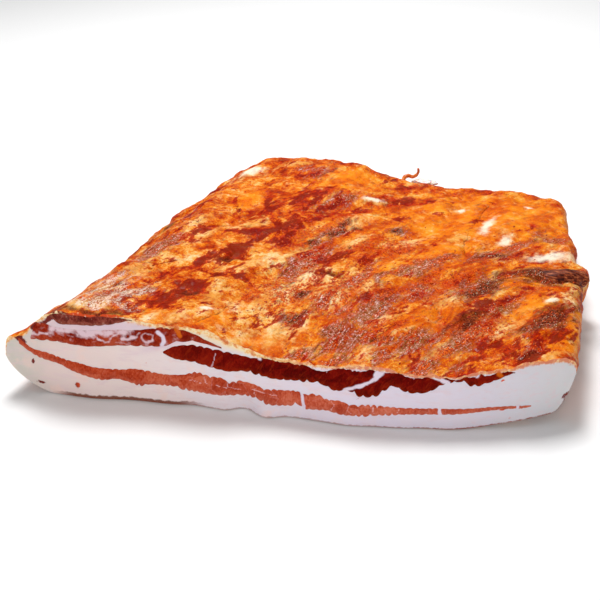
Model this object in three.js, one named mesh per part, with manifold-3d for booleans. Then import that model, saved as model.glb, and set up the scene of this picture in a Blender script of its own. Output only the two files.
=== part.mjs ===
// A slab of pancetta: cured pork belly, dried flat, rubbed with paprika and trimmed along one side.
// Fat is the body of the slab. Lean meat runs through it in layers that the knife has laid open.
// x runs along the cut, y away from it towards the back edge, z up from the underside. Millimetres.

import * as THREE from 'three';
import { mergeVertices } from 'three/addons/utils/BufferGeometryUtils.js';
import Module from 'manifold-3d';

const wasm = await Module();
wasm.setup();

// ---------------------------------------------------------------- driving dimensions

const TRIM_ALLOWANCE = 14;        // meat in front of the knife line before the slab is trimmed
const KNIFE_LEAN = 0.04;          // how far the cut leans back for each millimetre of height
const LEFT_NOSE_RADIUS = 30;      // how far the thick left side rounds in from its rim
const RIGHT_SHOULDER_RADIUS = 9;  // the right side has a tight upper edge
const BACK_SHOULDER_RADIUS = 15;
const UNDERSIDE_RADIUS = 20;      // rounding under the left and back rims
const RIGHT_UNDERCUT = 8;         // the right side slants in under its rim
const NOSE_FULLNESS = 1.35;       // 2 is a round quarter, 1 a straight bevel
const SHOULDER_FULLNESS = 2.2;
const UNDERCUT_FULLNESS = 1.6;
const SKIN = 1.3;                 // fat or crust left over a lean layer where it meets the cut
const SKIN_INSIDE = 4.5;          // and further in, under the uneven top
const SEAT_GAP = 0.3;             // clearance between a lean layer and the fat round it
const GRAIN_ANGLE = 68;           // degrees from x to y that the muscle fibres run, seen from above
const LEFT_SIDE = -134;           // x of the sides, give or take their waves
const RIGHT_SIDE = 139;
const LEFT_RIM_HEIGHT = 21;
const RIGHT_RIM_HEIGHT = 26;
const BACK_RIM_HEIGHT = 18;
const INSIDE_FROM_CUT = 62;       // the top has its inside height this far behind the cut
const BACK_SLOPE_FROM = 95;       // and falls to its height at the back between these two
const BACK_SLOPE_TO = 225;

// The low waves between muscle bundles: crest to crest across them, along them, height and turn.
const WAVES = [
  { across: 24, along: 96, height: 0.5, turn: 68 },
  { across: 37, along: 70, height: 0.6, turn: 44 },
  { across: 53, along: 118, height: 0.7, turn: 83 },
];

// The knife line as stations of [x, y]: nearly straight, then swinging back at the right.
const KNIFE_LINE = [
  [-150, -143.5], [-127, -140.6], [-100, -138], [-81, -133.2], [-62, -130.4], [-36, -126.3],
  [-18, -123], [2, -120.8], [26, -118.6], [50, -114.3], [68, -110.4], [85, -105.2], [102, -97.6],
  [119, -89.6], [135, -78.5], [150, -62],
];
const KNIFE_BULGE = { x: -8, width: 7, out: 3.2 };          // a soft fold of fat that sags forward
const LIFTED_CORNER = { from: 84, reach: 52, rise: 4.2 };   // the right end of the cut curls up

// Outline of the slab at its rim, seen from above, as stations of [y, x] and of [x, y].
const LEFT_RIM = [
  [-142, -147], [-116, -141.5], [-94, -138], [-66, -134], [-44, -133], [-18, -134.5],
  [20, -134.5], [64, -132], [94, -128], [122, -122], [138, -112],
];
const RIGHT_RIM = [
  [-104, 137.5], [-86, 138.5], [-52, 139.5], [0, 139.5], [14, 139], [20, 142.4], [28, 142.4],
  [34, 136], [60, 133.5], [68, 130], [96, 127], [120, 124], [132, 118],
];
const BACK_EDGE = [
  [-132, 118], [-118, 136], [-100, 145], [-78, 146], [-56, 143.5], [-38, 140], [-8, 136.5],
  [25, 136], [60, 139], [92, 141], [112, 138.5], [124, 130], [132, 112],
];

// Height of the top along x: at the cut, a third of the way in, and near the back edge.
const TOP_AT_CUT = [
  [-150, 50.5], [-124, 50], [-106, 50.5], [-84, 50], [-66, 47.6], [-42, 47], [-30, 42.6],
  [-18, 37.4], [-6, 34.6], [18, 33.4], [44, 32.3], [72, 32.6], [92, 33.6], [108, 34.2],
  [116, 37], [128, 36.4], [145, 34],
];
const TOP_INSIDE = [
  [-150, 43], [-104, 45], [-62, 44], [-22, 40], [18, 38.4], [60, 37.6], [100, 37.4], [145, 36],
];
const TOP_AT_BACK = [
  [-150, 37], [-92, 40.5], [-52, 40], [-12, 38], [20, 34.5], [60, 34.5], [100, 35], [145, 33],
];

// Ridges and hollows of the top that show through the rub: [x, y, half length, half width, height],
// each lying along the grain unless a sixth number turns it.
const RELIEF = [
  [-114, -82, 22, 9, 2.2, 60], [-120, -44, 20, 9, 2.0, 84], [-92, -52, 17, 8, -1.8, 30],
  [-70, -38, 24, 7, 1.6, 30], [-62, -16, 30, 5, -2.0, 26], [-96, 2, 26, 10, 1.8, 78],
  [-72, 22, 9, 5, -2.2, 90], [-44, 10, 26, 9, 1.6, 50], [-40, -72, 15, 10, 1.5, 20],
  [-10, -68, 14, 6, -2.8], [26, -66, 30, 10, 2.4, 75], [14, -16, 24, 7, 1.8], [30, 14, 30, 6, -1.8],
  [44, -4, 26, 8, 1.9, 60], [66, -60, 13, 4, -2.6, 92], [80, -58, 30, 9, 2.0, 61],
  [70, 24, 9, 4, -3.0, 100], [92, 60, 24, 11, 1.8, 40], [116, 2, 34, 5, 2.2, 7],
  [104, -24, 26, 6, -1.7, 58], [-70, 112, 22, 12, 1.8, -11], [-30, 66, 20, 8, 1.7, 45],
  [-14, 104, 26, 10, -1.6, 30], [36, 92, 28, 12, 1.6, 10],
];

// Lean layers at the cut, as stations along x: the upper edge, as a depth under the top or as a
// height over the underside, and the thickness. Muscle bundles scallop the edges.
const LAYERS = {
  lower_lean: {
    heights: [
      [-137, 29.5], [-131, 26], [-123, 24.8], [-113, 22.2], [-98, 20], [-82, 19], [-62, 18.4],
      [-42, 20], [-20, 17.2], [0, 15.4], [18, 14.8], [36, 12], [60, 12.4], [92, 12.4], [120, 11.6],
    ],
    thickness: [
      [-137, 2.4], [-131, 3], [-123, 4.2], [-111, 5.6], [-98, 7], [-82, 7.4], [-61, 8.2], [-41, 10],
      [-20, 8.4], [0, 7.6], [18, 8], [36, 5.6], [60, 4.6], [80, 3.8], [99, 1.9], [120, 1.2],
    ],
    bundleWidth: 10.5,
    scallop: 0.55,
    columns: 44,
    behind: 9,
  },
  upper_lean: {
    depths: [
      [-60, 14.8], [-53, 11.4], [-44, 10.6], [-34, 9.2], [-24, 5.4], [-15, 2.2], [-6, SKIN],
      [110, SKIN],
    ],
    thickness: [
      [-60, 1.2], [-55, 6], [-46, 9.2], [-36, 11], [-20, 9.6], [-6, 10.6], [10, 10.6], [24, 13],
      [34, 11.4], [42, 13.6], [52, 8], [62, 9.6], [72, 9.4], [79, 4.8], [88, 5.2], [96, 6.6],
      [108, 1.4],
    ],
    bundleWidth: 7.5,
    scallop: 0.7,
    columns: 44,
    behind: 12,
  },
  left_lean: {
    depths: [
      [-127, 3], [-120, 7.4], [-108, 10.4], [-96, 9.9], [-84, 8.6], [-68, 4.4], [-60, 2.2],
      [-52, 2.2], [-42, 5.6], [-34, 6.8],
    ],
    thickness: [
      [-127, 2.6], [-120, 6.6], [-108, 7.8], [-96, 8.4], [-84, 8.4], [-68, 8.2], [-58, 7.4],
      [-46, 3.4], [-34, 1],
    ],
    bundleWidth: 13,
    scallop: 0.5,
    columns: 24,
    behind: 22,
  },
  dried_lean: {
    depths: [[-117, SKIN], [-76, SKIN]],
    thickness: [[-117, 2.4], [-109, 4.4], [-92, 4.2], [-84, 3.2], [-76, 1.1]],
    bundleWidth: 9,
    scallop: 0.3,
    columns: 14,
    behind: 150,
  },
};
const LAYER_ROWS = [0, 10, 24, 50, 100, 160];  // rows of a layer, from the untrimmed front
const END_TAPER = { length: 12, share: 0.15 }; // its back end thins to this share of its thickness

// A dried sinew that curls up from the back edge, and a scrap of fat left on the edge beside it.
const SINEW_PATH = [
  [9.5, 128, 33], [9, 131, 35.5], [12, 134, 37], [15.5, 135, 36], [19, 136, 38], [21, 136.5, 42],
  [20, 137, 46],
];
const SINEW_RADIUS = 0.9;
const SCRAP = { x: 22, y: 133.5, z: 29.5, length: 17, width: 9, height: 8 };

const COLOURS = { fat: 0xe8913c, lean: 0xa8452c, darkLean: 0x6e1608, dried: 0x6b2c1a };

// ---------------------------------------------------------------- small functions of shape

const mix = (a, b, share) => a + (b - a) * share;
const clampShare = (share) => Math.min(Math.max(share, 0), 1);

function smoothStep(from, to, place) {
  const share = clampShare((place - from) / (to - from));
  return share * share * (3 - 2 * share);
}

// A smooth curve through stations of [place, value], level beyond both ends.
function smoothCurve(stations) {
  const last = stations.length - 1;
  const slopes = stations.map((_, k) => {
    const before = stations[Math.max(k - 1, 0)];
    const after = stations[Math.min(k + 1, last)];
    return (after[1] - before[1]) / (after[0] - before[0]);
  });
  return (place) => {
    if (place <= stations[0][0]) return stations[0][1];
    if (place >= stations[last][0]) return stations[last][1];
    const k = stations.findIndex((station) => station[0] >= place) - 1;
    const [start, valueAtStart] = stations[k];
    const [end, valueAtEnd] = stations[k + 1];
    const q = (place - start) / (end - start);
    const rise = q * q * (3 - 2 * q);
    const leave = slopes[k] * q * (1 - q) * (1 - q);
    const arrive = slopes[k + 1] * q * q * (q - 1);
    return mix(valueAtStart, valueAtEnd, rise) + (end - start) * (leave + arrive);
  };
}

// 0 at the rim and 1 from one radius inwards.
function roundOver(share, fullness) {
  return (1 - (1 - clampShare(share)) ** fullness) ** (1 / fullness);
}

const bladePath = smoothCurve(KNIFE_LINE);

function knifeLine(x) {
  const { x: middle, width, out } = KNIFE_BULGE;
  return bladePath(x) - out * Math.exp(-(((x - middle) / width) ** 2));
}

const leftRim = smoothCurve(LEFT_RIM);
const rightRim = smoothCurve(RIGHT_RIM);
const backEdge = smoothCurve(BACK_EDGE);
const topAtCut = smoothCurve(TOP_AT_CUT);
const topInside = smoothCurve(TOP_INSIDE);
const topAtBack = smoothCurve(TOP_AT_BACK);

// ---------------------------------------------------------------- the slab's own coordinates

// Rows run from the untrimmed front (along = 0) to the back edge (along = 1).
const lengthAt = (x) => backEdge(x) - knifeLine(x) + TRIM_ALLOWANCE;
const rowY = (x, along) => backEdge(x) - (1 - along) * lengthAt(x);
const rowLeft = (along) => leftRim(rowY(LEFT_SIDE, along));
const rowRight = (along) => rightRim(rowY(RIGHT_SIDE, along));

// The place on the slab at a share across (0 left rim, 1 right rim) and along.
function placeAt(across, along) {
  const left = rowLeft(along);
  const right = rowRight(along);
  const x = mix(left, right, across);
  const y = rowY(x, along);
  return {
    x,
    y,
    fromLeft: x - left,
    fromRight: right - x,
    fromBack: (1 - along) * lengthAt(x),
    fromCut: y - knifeLine(x),
  };
}

function reliefHeight(x, y) {
  let height = 0;
  for (const wave of WAVES) {
    const angle = THREE.MathUtils.degToRad(wave.turn);
    const across = x * Math.sin(angle) - y * Math.cos(angle);
    const down = x * Math.cos(angle) + y * Math.sin(angle);
    const swell = Math.sin((2 * Math.PI * down) / wave.along);
    height += wave.height * Math.sin((2 * Math.PI * across) / wave.across + 1.4 * swell);
  }
  for (const [middleX, middleY, halfLength, halfWidth, rise, turn = GRAIN_ANGLE] of RELIEF) {
    const angle = THREE.MathUtils.degToRad(turn);
    const dx = x - middleX;
    const dy = y - middleY;
    const lengthways = (dx * Math.cos(angle) + dy * Math.sin(angle)) / halfLength;
    const sideways = (dy * Math.cos(angle) - dx * Math.sin(angle)) / halfWidth;
    height += rise * Math.exp(-lengthways * lengthways - sideways * sideways);
  }
  return height;
}

function rimHeight(across, fromBack) {
  const side = mix(LEFT_RIM_HEIGHT, RIGHT_RIM_HEIGHT, across);
  return mix(BACK_RIM_HEIGHT, side, smoothStep(0, 60, fromBack));
}

function topHeight(across, along, reliefShare = 1) {
  const { x, y, fromLeft, fromRight, fromBack, fromCut } = placeAt(across, along);
  const front = mix(topAtCut(x), topInside(x), smoothStep(0, INSIDE_FROM_CUT, fromCut));
  const smooth = mix(front, topAtBack(x), smoothStep(BACK_SLOPE_FROM, BACK_SLOPE_TO, fromCut));
  const relief = reliefShare * reliefHeight(x, y) * smoothStep(0, 16, fromCut);
  const rounding = roundOver(fromLeft / LEFT_NOSE_RADIUS, NOSE_FULLNESS)
    * roundOver(fromRight / RIGHT_SHOULDER_RADIUS, SHOULDER_FULLNESS)
    * roundOver(fromBack / BACK_SHOULDER_RADIUS, SHOULDER_FULLNESS);
  return mix(rimHeight(across, fromBack), smooth + relief, rounding);
}

function bottomHeight(across, along) {
  const { x, fromLeft, fromRight, fromBack, fromCut } = placeAt(across, along);
  const { from, reach, rise } = LIFTED_CORNER;
  const floor = rise * smoothStep(from, from + reach, x) * (1 - smoothStep(20, 90, fromCut));
  const rounding = roundOver(fromLeft / UNDERSIDE_RADIUS, SHOULDER_FULLNESS)
    * roundOver(fromRight / RIGHT_UNDERCUT, UNDERCUT_FULLNESS)
    * roundOver(fromBack / UNDERSIDE_RADIUS, SHOULDER_FULLNESS);
  return mix(rimHeight(across, fromBack), floor, rounding);
}

// ---------------------------------------------------------------- meshes and solids

// Shares from 0 to 1, closer together where the surface rounds over at either end.
function sharesAcross(startRadius, endRadius, steps, width) {
  const shares = [];
  const arcShare = (k) => 1 - Math.cos((Math.PI / 2) * (k / steps.arc));
  for (let k = 0; k < steps.arc; k += 1) shares.push((startRadius * arcShare(k)) / width);
  for (let k = 0; k <= steps.flat; k += 1) {
    shares.push(mix(startRadius / width, 1 - endRadius / width, k / steps.flat));
  }
  for (let k = steps.arc - 1; k >= 0; k -= 1) shares.push(1 - (endRadius * arcShare(k)) / width);
  return shares;
}

function geometryOf(points, faces) {
  const geometry = new THREE.BufferGeometry();
  geometry.setAttribute('position', new THREE.Float32BufferAttribute(points, 3));
  geometry.setIndex(faces);
  return geometry;
}

// A closed skin from rings of points, one ring to a row. A ring runs left to right over the top and
// back underneath, and each end is closed by strips between the two runs.
function skinOfRings(rings, upperCount) {
  const count = rings[0].length;
  const faces = [];
  const addFace = (a, b, c) => {
    if (a !== b && b !== c && c !== a) faces.push(a, b, c);
  };
  for (let row = 0; row + 1 < rings.length; row += 1) {
    for (let k = 0; k < count; k += 1) {
      const a = row * count + k;
      const b = row * count + ((k + 1) % count);
      addFace(a, b, b + count);
      addFace(a, b + count, a + count);
    }
  }
  const closeEnd = (row, facesForward) => {
    const ring = rings[row];
    const index = (k) => row * count + (k % count);
    const lastUpper = upperCount - 1;
    let upper = 0;
    let lower = count;
    while (upper < lastUpper || lower > lastUpper) {
      const nextUpperX = upper < lastUpper ? ring[upper + 1][0] : Infinity;
      const nextLowerX = lower > lastUpper ? ring[lower - 1][0] : Infinity;
      const upperSteps = nextUpperX <= nextLowerX;
      const third = upperSteps ? upper + 1 : lower - 1;
      if (facesForward) addFace(index(upper), index(lower), index(third));
      else addFace(index(upper), index(third), index(lower));
      if (upperSteps) upper += 1;
      else lower -= 1;
    }
  };
  closeEnd(0, true);
  closeEnd(rings.length - 1, false);
  return geometryOf(rings.flat(2), faces);
}

function solidOf(geometry) {
  const bare = geometry.clone();
  for (const name of Object.keys(bare.attributes)) {
    if (name !== 'position') bare.deleteAttribute(name);
  }
  const merged = mergeVertices(bare, 1e-4);
  const vertProperties = new Float32Array(merged.attributes.position.array);
  const triVerts = new Uint32Array(merged.index.array);
  return new wasm.Manifold(new wasm.Mesh({ numProp: 3, vertProperties, triVerts }));
}

function meshOf(name, solid, colour, roughness) {
  const { vertProperties, triVerts } = solid.getMesh();
  const geometry = geometryOf(Array.from(vertProperties), Array.from(triVerts));
  geometry.computeVertexNormals();
  const material = new THREE.MeshStandardMaterial({ color: colour, roughness, metalness: 0 });
  const mesh = new THREE.Mesh(geometry, material);
  mesh.name = name;
  return mesh;
}

// ---------------------------------------------------------------- the slab before it is trimmed

const TOP_STEPS = { arc: 5, flat: 32 };
const UNDER_STEPS = { arc: 3, flat: 5 };
const ROW_STEPS = { flat: 28, arc: 4 };

function slabSolid() {
  const width = rowRight(0.5) - rowLeft(0.5);
  const upper = sharesAcross(LEFT_NOSE_RADIUS, RIGHT_SHOULDER_RADIUS, TOP_STEPS, width);
  const under = sharesAcross(UNDERSIDE_RADIUS, RIGHT_UNDERCUT, UNDER_STEPS, width);
  const backToFront = under.slice(1, -1).reverse();
  const backRound = BACK_SHOULDER_RADIUS / lengthAt(0);
  const rows = [];
  for (let k = 0; k <= ROW_STEPS.flat; k += 1) rows.push(((1 - backRound) * k) / ROW_STEPS.flat);
  for (let k = ROW_STEPS.arc - 1; k > 0; k -= 1) {
    rows.push(1 - backRound * (1 - Math.cos((Math.PI / 2) * (k / ROW_STEPS.arc))));
  }
  const pointOn = (across, along, height) => {
    const { x, y } = placeAt(across, along);
    return [x, y, height(across, along)];
  };
  const rings = rows.map((along) => [
    ...upper.map((across) => pointOn(across, along, topHeight)),
    ...backToFront.map((across) => pointOn(across, along, bottomHeight)),
  ]);
  return solidOf(skinOfRings(rings, upper.length));
}

// ---------------------------------------------------------------- the knife

const KNIFE_BLOCK = { side: 175, step: 10, front: -190, below: -20, height: 100 };

// All that lies in front of the cut, as one block that leans back with the blade.
function knifeSolid() {
  const { side, step, front, below, height } = KNIFE_BLOCK;
  const plan = new THREE.Shape();
  plan.moveTo(-side, front);
  plan.lineTo(side, front);
  for (let x = side; x >= -side; x -= step) plan.lineTo(x, knifeLine(x));
  plan.closePath();
  const block = new THREE.ExtrudeGeometry(plan, { depth: height, bevelEnabled: false });
  block.translate(0, 0, below);
  const corners = block.attributes.position;
  for (let k = 0; k < corners.count; k += 1) {
    corners.setY(k, corners.getY(k) + KNIFE_LEAN * corners.getZ(k));
  }
  return solidOf(block);
}

// ---------------------------------------------------------------- lean layers

// One layer, or with grow the pocket for it. It starts in front of the cut and ends inside the slab,
// keeping its share of the slab's height all the way.
function layerSolid(layer, grow) {
  const edge = smoothCurve(layer.heights ?? layer.depths);
  const thickness = smoothCurve(layer.thickness);
  const firstX = layer.thickness[0][0];
  const lastX = layer.thickness.at(-1)[0];
  const columns = Array.from({ length: layer.columns + 1 }, (_, k) => {
    const x = mix(firstX, lastX, k / layer.columns);
    const along = TRIM_ALLOWANCE / lengthAt(x);
    const width = rowRight(along) - rowLeft(along);
    const across = (x - rowLeft(along)) / width;
    const surface = topHeight(across, along, 0);
    const bundle = (Math.PI * x) / layer.bundleWidth;
    const upper = layer.heights ? edge(x) : surface - edge(x);
    return {
      across,
      outward: k === 0 ? -grow : (k === layer.columns ? grow : 0),
      surface,
      upper: upper + layer.scallop * (Math.abs(Math.sin(bundle)) - 0.6),
      lower: upper - thickness(x) - layer.scallop * (Math.abs(Math.sin(bundle + 0.8)) - 0.6),
    };
  });
  const ringAt = (alongOf, thicknessShare) => {
    const run = columns.map(({ across, outward, surface, upper, lower }) => {
      const along = alongOf(lengthAt(placeAt(across, 0.5).x));
      const { x, y, fromCut } = placeAt(across, along);
      const cover = (SKIN_INSIDE - SKIN) * smoothStep(0, 12, fromCut);
      const scale = Math.min((topHeight(across, along, 0) - cover) / surface, 1.02);
      const middle = (scale * (upper + lower)) / 2;
      const half = (thicknessShare * scale * (upper - lower)) / 2 + grow;
      return { x: x + outward, y, upper: middle + half, lower: middle - half };
    });
    return [
      ...run.map(({ x, y, upper }) => [x, y, upper]),
      ...run.map(({ x, y, lower }) => [x, y, lower]).reverse(),
    ];
  };
  const lastRow = lengthAt(0) - layer.behind - 2 * END_TAPER.length;
  const rings = LAYER_ROWS.filter((row) => row < lastRow)
    .map((row) => ringAt((length) => row / length, 1));
  rings.push(ringAt((length) => 1 - (layer.behind + END_TAPER.length) / length, 1));
  rings.push(ringAt((length) => 1 - (layer.behind - grow) / length, END_TAPER.share));
  return solidOf(skinOfRings(rings, columns.length));
}

// ---------------------------------------------------------------- what clings to the back edge

function sinewSolid() {
  const path = new THREE.CatmullRomCurve3(SINEW_PATH.map((point) => new THREE.Vector3(...point)));
  const section = new THREE.Shape().absarc(0, 0, SINEW_RADIUS, 0, 2 * Math.PI);
  const tube = new THREE.ExtrudeGeometry(section, { steps: 14, curveSegments: 3, extrudePath: path });
  return solidOf(tube);
}

function scrapSolid() {
  const scrap = new THREE.SphereGeometry(0.5, 10, 6);
  scrap.scale(SCRAP.length, SCRAP.width, SCRAP.height);
  scrap.translate(SCRAP.x, SCRAP.y, SCRAP.z);
  return solidOf(scrap);
}

// ---------------------------------------------------------------- the whole slab

const knife = knifeSolid();
const group = new THREE.Group();
const leans = Object.entries(LAYERS).map(([name, layer]) => ({
  name,
  solid: layerSolid(layer, 0).subtract(knife),
  pocket: layerSolid(layer, SEAT_GAP),
}));

let fat = slabSolid().subtract(knife).add(sinewSolid()).add(scrapSolid());
for (const { pocket } of leans) fat = fat.subtract(pocket);
group.add(meshOf('fat_slab', fat, COLOURS.fat, 0.55));

const leanColours = {
  lower_lean: COLOURS.lean,
  upper_lean: COLOURS.darkLean,
  left_lean: COLOURS.lean,
  dried_lean: COLOURS.dried,
};
for (const { name, solid } of leans) group.add(meshOf(name, solid, leanColours[name], 0.5));

// The origin is the middle of the slab's box, on the surface that it lies on.
const box = new THREE.Box3().setFromObject(group);
const middle = box.getCenter(new THREE.Vector3());
group.position.set(-middle.x, -middle.y, -box.min.z);

export default group;
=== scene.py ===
# A slab of pancetta: cured pork belly rubbed with paprika, with one side cut open.
# Lengths are in millimetres in the slab's own frame, and become metres where a mesh is made.

import math

import bmesh
import bpy
import numpy as np
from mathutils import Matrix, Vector


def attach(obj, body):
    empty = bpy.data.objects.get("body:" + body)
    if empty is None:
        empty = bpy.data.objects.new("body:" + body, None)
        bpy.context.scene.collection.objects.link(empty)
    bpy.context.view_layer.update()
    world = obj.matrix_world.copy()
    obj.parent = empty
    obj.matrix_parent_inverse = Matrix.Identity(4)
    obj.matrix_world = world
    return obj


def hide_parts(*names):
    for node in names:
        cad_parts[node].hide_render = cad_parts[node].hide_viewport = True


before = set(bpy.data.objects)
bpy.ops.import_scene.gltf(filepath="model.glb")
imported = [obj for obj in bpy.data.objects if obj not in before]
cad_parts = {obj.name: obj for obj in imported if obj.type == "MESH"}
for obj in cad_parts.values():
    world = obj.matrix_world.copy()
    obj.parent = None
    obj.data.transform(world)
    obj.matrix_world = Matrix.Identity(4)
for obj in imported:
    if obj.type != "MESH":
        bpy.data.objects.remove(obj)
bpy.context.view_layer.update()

# ---------------------------------------------------------------- table and daylight
# The slab lies on a pale matt table. A large soft light overhead, a little behind, gives the oily
# top small glints, and a broad soft light in front fills the cut.

METRE = 0.001


def paint(red, green, blue):
    """A screen colour, 0 to 255 each, as Blender's linear colour."""
    shares = [channel / 255 for channel in (red, green, blue)]
    linear = [s / 12.92 if s <= 0.04045 else ((s + 0.055) / 1.055) ** 2.4 for s in shares]
    return (*linear, 1.0)


TABLE_SIZE = 3.0
TABLE_DROP = 0.0004        # keeps the table's plane off the slab's underside
TABLE_WHITE = (0.93, 0.93, 0.93, 1)
ROOM_BRIGHTNESS = 0.22

table_mesh = bpy.data.meshes.new("table")
half = TABLE_SIZE / 2
table_mesh.from_pydata(
    [(-half, -half, -TABLE_DROP), (half, -half, -TABLE_DROP), (half, half, -TABLE_DROP),
     (-half, half, -TABLE_DROP)],
    [],
    [(0, 1, 2, 3)],
)
table = bpy.data.objects.new("table", table_mesh)
bpy.context.scene.collection.objects.link(table)
table_paint = bpy.data.materials.new("pale_table")
table_paint.use_nodes = True
table_surface = table_paint.node_tree.nodes["Principled BSDF"]
table_surface.inputs["Base Color"].default_value = TABLE_WHITE
table_surface.inputs["Roughness"].default_value = 0.9
table_mesh.materials.append(table_paint)

sky = bpy.data.worlds.new("soft_room")
sky.use_nodes = True
sky.node_tree.nodes["Background"].inputs["Color"].default_value = (1.0, 1.0, 1.0, 1)
sky.node_tree.nodes["Background"].inputs["Strength"].default_value = ROOM_BRIGHTNESS
bpy.context.scene.world = sky


def soft_light(name, place, aim, width, height, watts):
    lamp = bpy.data.lights.new(name, "AREA")
    lamp.shape = "RECTANGLE"
    lamp.size = width
    lamp.size_y = height
    lamp.energy = watts
    holder = bpy.data.objects.new(name, lamp)
    holder.location = place
    holder.rotation_euler = (Vector(aim) - Vector(place)).to_track_quat("-Z", "Y").to_euler()
    bpy.context.scene.collection.objects.link(holder)


soft_light("overhead", (-0.25, 0.32, 1.15), (0, 0, 0.02), 0.40, 0.40, 12.8)
soft_light("front_fill", (0.20, -1.05, 0.50), (0, -0.1, 0.02), 0.9, 0.5, 4.6)
soft_light("backdrop", (-0.1, 1.25, 1.10), (0, 1.05, 0.0), 1.2, 0.5, 6.5)

CAMERA_PLACE = (0.115235, -0.44327, 0.26491)
CAMERA_AZIMUTH = math.radians(18)
CAMERA_ELEVATION = math.radians(30)

lens = bpy.data.cameras.new("camera")
lens.lens = 50
lens.sensor_width = 36
lens.clip_start = 0.01
lens.clip_end = 20
camera = bpy.data.objects.new("camera", lens)
camera_back = Vector((
    math.sin(CAMERA_AZIMUTH) * math.cos(CAMERA_ELEVATION),
    -math.cos(CAMERA_AZIMUTH) * math.cos(CAMERA_ELEVATION),
    math.sin(CAMERA_ELEVATION),
))
camera.location = CAMERA_PLACE
camera.rotation_euler = (-camera_back).to_track_quat("-Z", "Y").to_euler()
bpy.context.scene.collection.objects.link(camera)
bpy.context.scene.camera = camera
bpy.context.scene.view_settings.view_transform = "Standard"

# ---------------------------------------------------------------- the slab of fat and its rub
# Back fat and belly fat, dried flat and rubbed with paprika, so that it has an oily orange crust.
# One closed skin: a dense top and rims, a plain underside, and the flat face that the knife left.

FRAME_SHIFT = np.array([1.805, -1.360, 0.0])   # from the slab's own frame to the CAD frame
KNIFE_LEAN = 0.04
# Where the foot of the cut sags forward or draws back: place, half width, how far.
FOOT_FOLDS = [(-8, 7, 3.4), (-21, 6, -2.4), (-47, 8, -1.2), (-30, 4, 0.8), (34, 10, 1.0), (70, 9, -0.9)]
TRIM_ALLOWANCE = 14        # how far the uncut slab reaches in front of the blade
MEAN_LENGTH = 255          # from the cut to the back edge, about
UNCUT_LENGTH = 270
SEARCH_ROUNDS = 8
LEFT_NOSE_RADIUS = 30
RIGHT_SHOULDER_RADIUS = 9
BACK_SHOULDER_RADIUS = 15
UNDERSIDE_RADIUS = 20
UNDERSIDE_LIFT = 4.2       # how far the right end of the cut is off the table
RIGHT_UNDERCUT = 8
NOSE_UNDERCUT = 25
NOSE_UNDER_FULLNESS = 1.55
NOSE_FULLNESS = 1.35
SHOULDER_FULLNESS = 2.2
UNDERCUT_FULLNESS = 1.6
LEFT_SIDE = -134
RIGHT_SIDE = 139
LEFT_RIM_HEIGHT = 21
RIGHT_RIM_HEIGHT = 26
BACK_RIM_HEIGHT = 18

KNIFE_LINE = [
    (-150, -143.5), (-127, -140.6), (-100, -138), (-81, -133.2), (-62, -130.4), (-36, -126.3),
    (-18, -123), (2, -120.8), (26, -118.6), (50, -114.3), (68, -110.4), (85, -105.2), (102, -97.6),
    (119, -89.6), (135, -78.5), (150, -62),
]
LEFT_RIM = [
    (-142, -147), (-116, -141.5), (-94, -138), (-66, -134), (-44, -133), (-18, -134.5),
    (20, -134.5), (64, -132), (94, -128), (122, -122), (138, -112),
]
RIGHT_RIM = [
    (-104, 137.5), (-86, 138.5), (-52, 139.5), (0, 139.5), (14, 139), (20, 142.4), (28, 142.4),
    (34, 136), (60, 133.5), (68, 130), (96, 127), (120, 124), (132, 118),
]
BACK_EDGE = [
    (-132, 118), (-118, 136), (-100, 145), (-78, 146), (-56, 143.5), (-38, 140), (-8, 136.5),
    (25, 136), (60, 139), (92, 141), (112, 138.5), (124, 130), (132, 112),
]
TOP_AT_CUT = [
    (-150, 50.5), (-124, 50), (-106, 50.5), (-84, 50), (-66, 47.6), (-42, 47), (-30, 42.6),
    (-18, 37.4), (-6, 34.6), (14, 33.4), (26, 33.8), (34, 34.6), (50, 34.4), (58, 33.4), (64, 32.2),
    (76, 32.2), (84, 31.6), (92, 33.2), (108, 34.2), (116, 37), (128, 36.4), (145, 34),
]
# The left corner of the cut: distance from the rim and height of the top.
LEFT_CORNER = [
    (0, 21), (1, 27.5), (3.5, 31.8), (8, 33.6), (12, 35.2), (16, 39.6), (20.5, 43.6), (26, 47.4),
    (33, 50.2), (42, 50.3),
]
TOP_INSIDE = [
    (-150, 43), (-104, 45), (-62, 44), (-22, 40), (18, 38.4), (60, 37.6), (100, 37.4), (145, 36),
]
TOP_AT_BACK = [
    (-150, 37), (-104, 38.5), (-78, 40), (-52, 43.5), (-30, 44), (-10, 41), (8, 37.5), (20, 35),
    (60, 34.5), (100, 35), (145, 33),
]
# Low waves between muscle bundles: crest to crest across and along them, height, turn.
WAVES = [(24, 96, 0.5, 68), (37, 70, 0.6, 44), (53, 118, 0.7, 83)]
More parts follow.
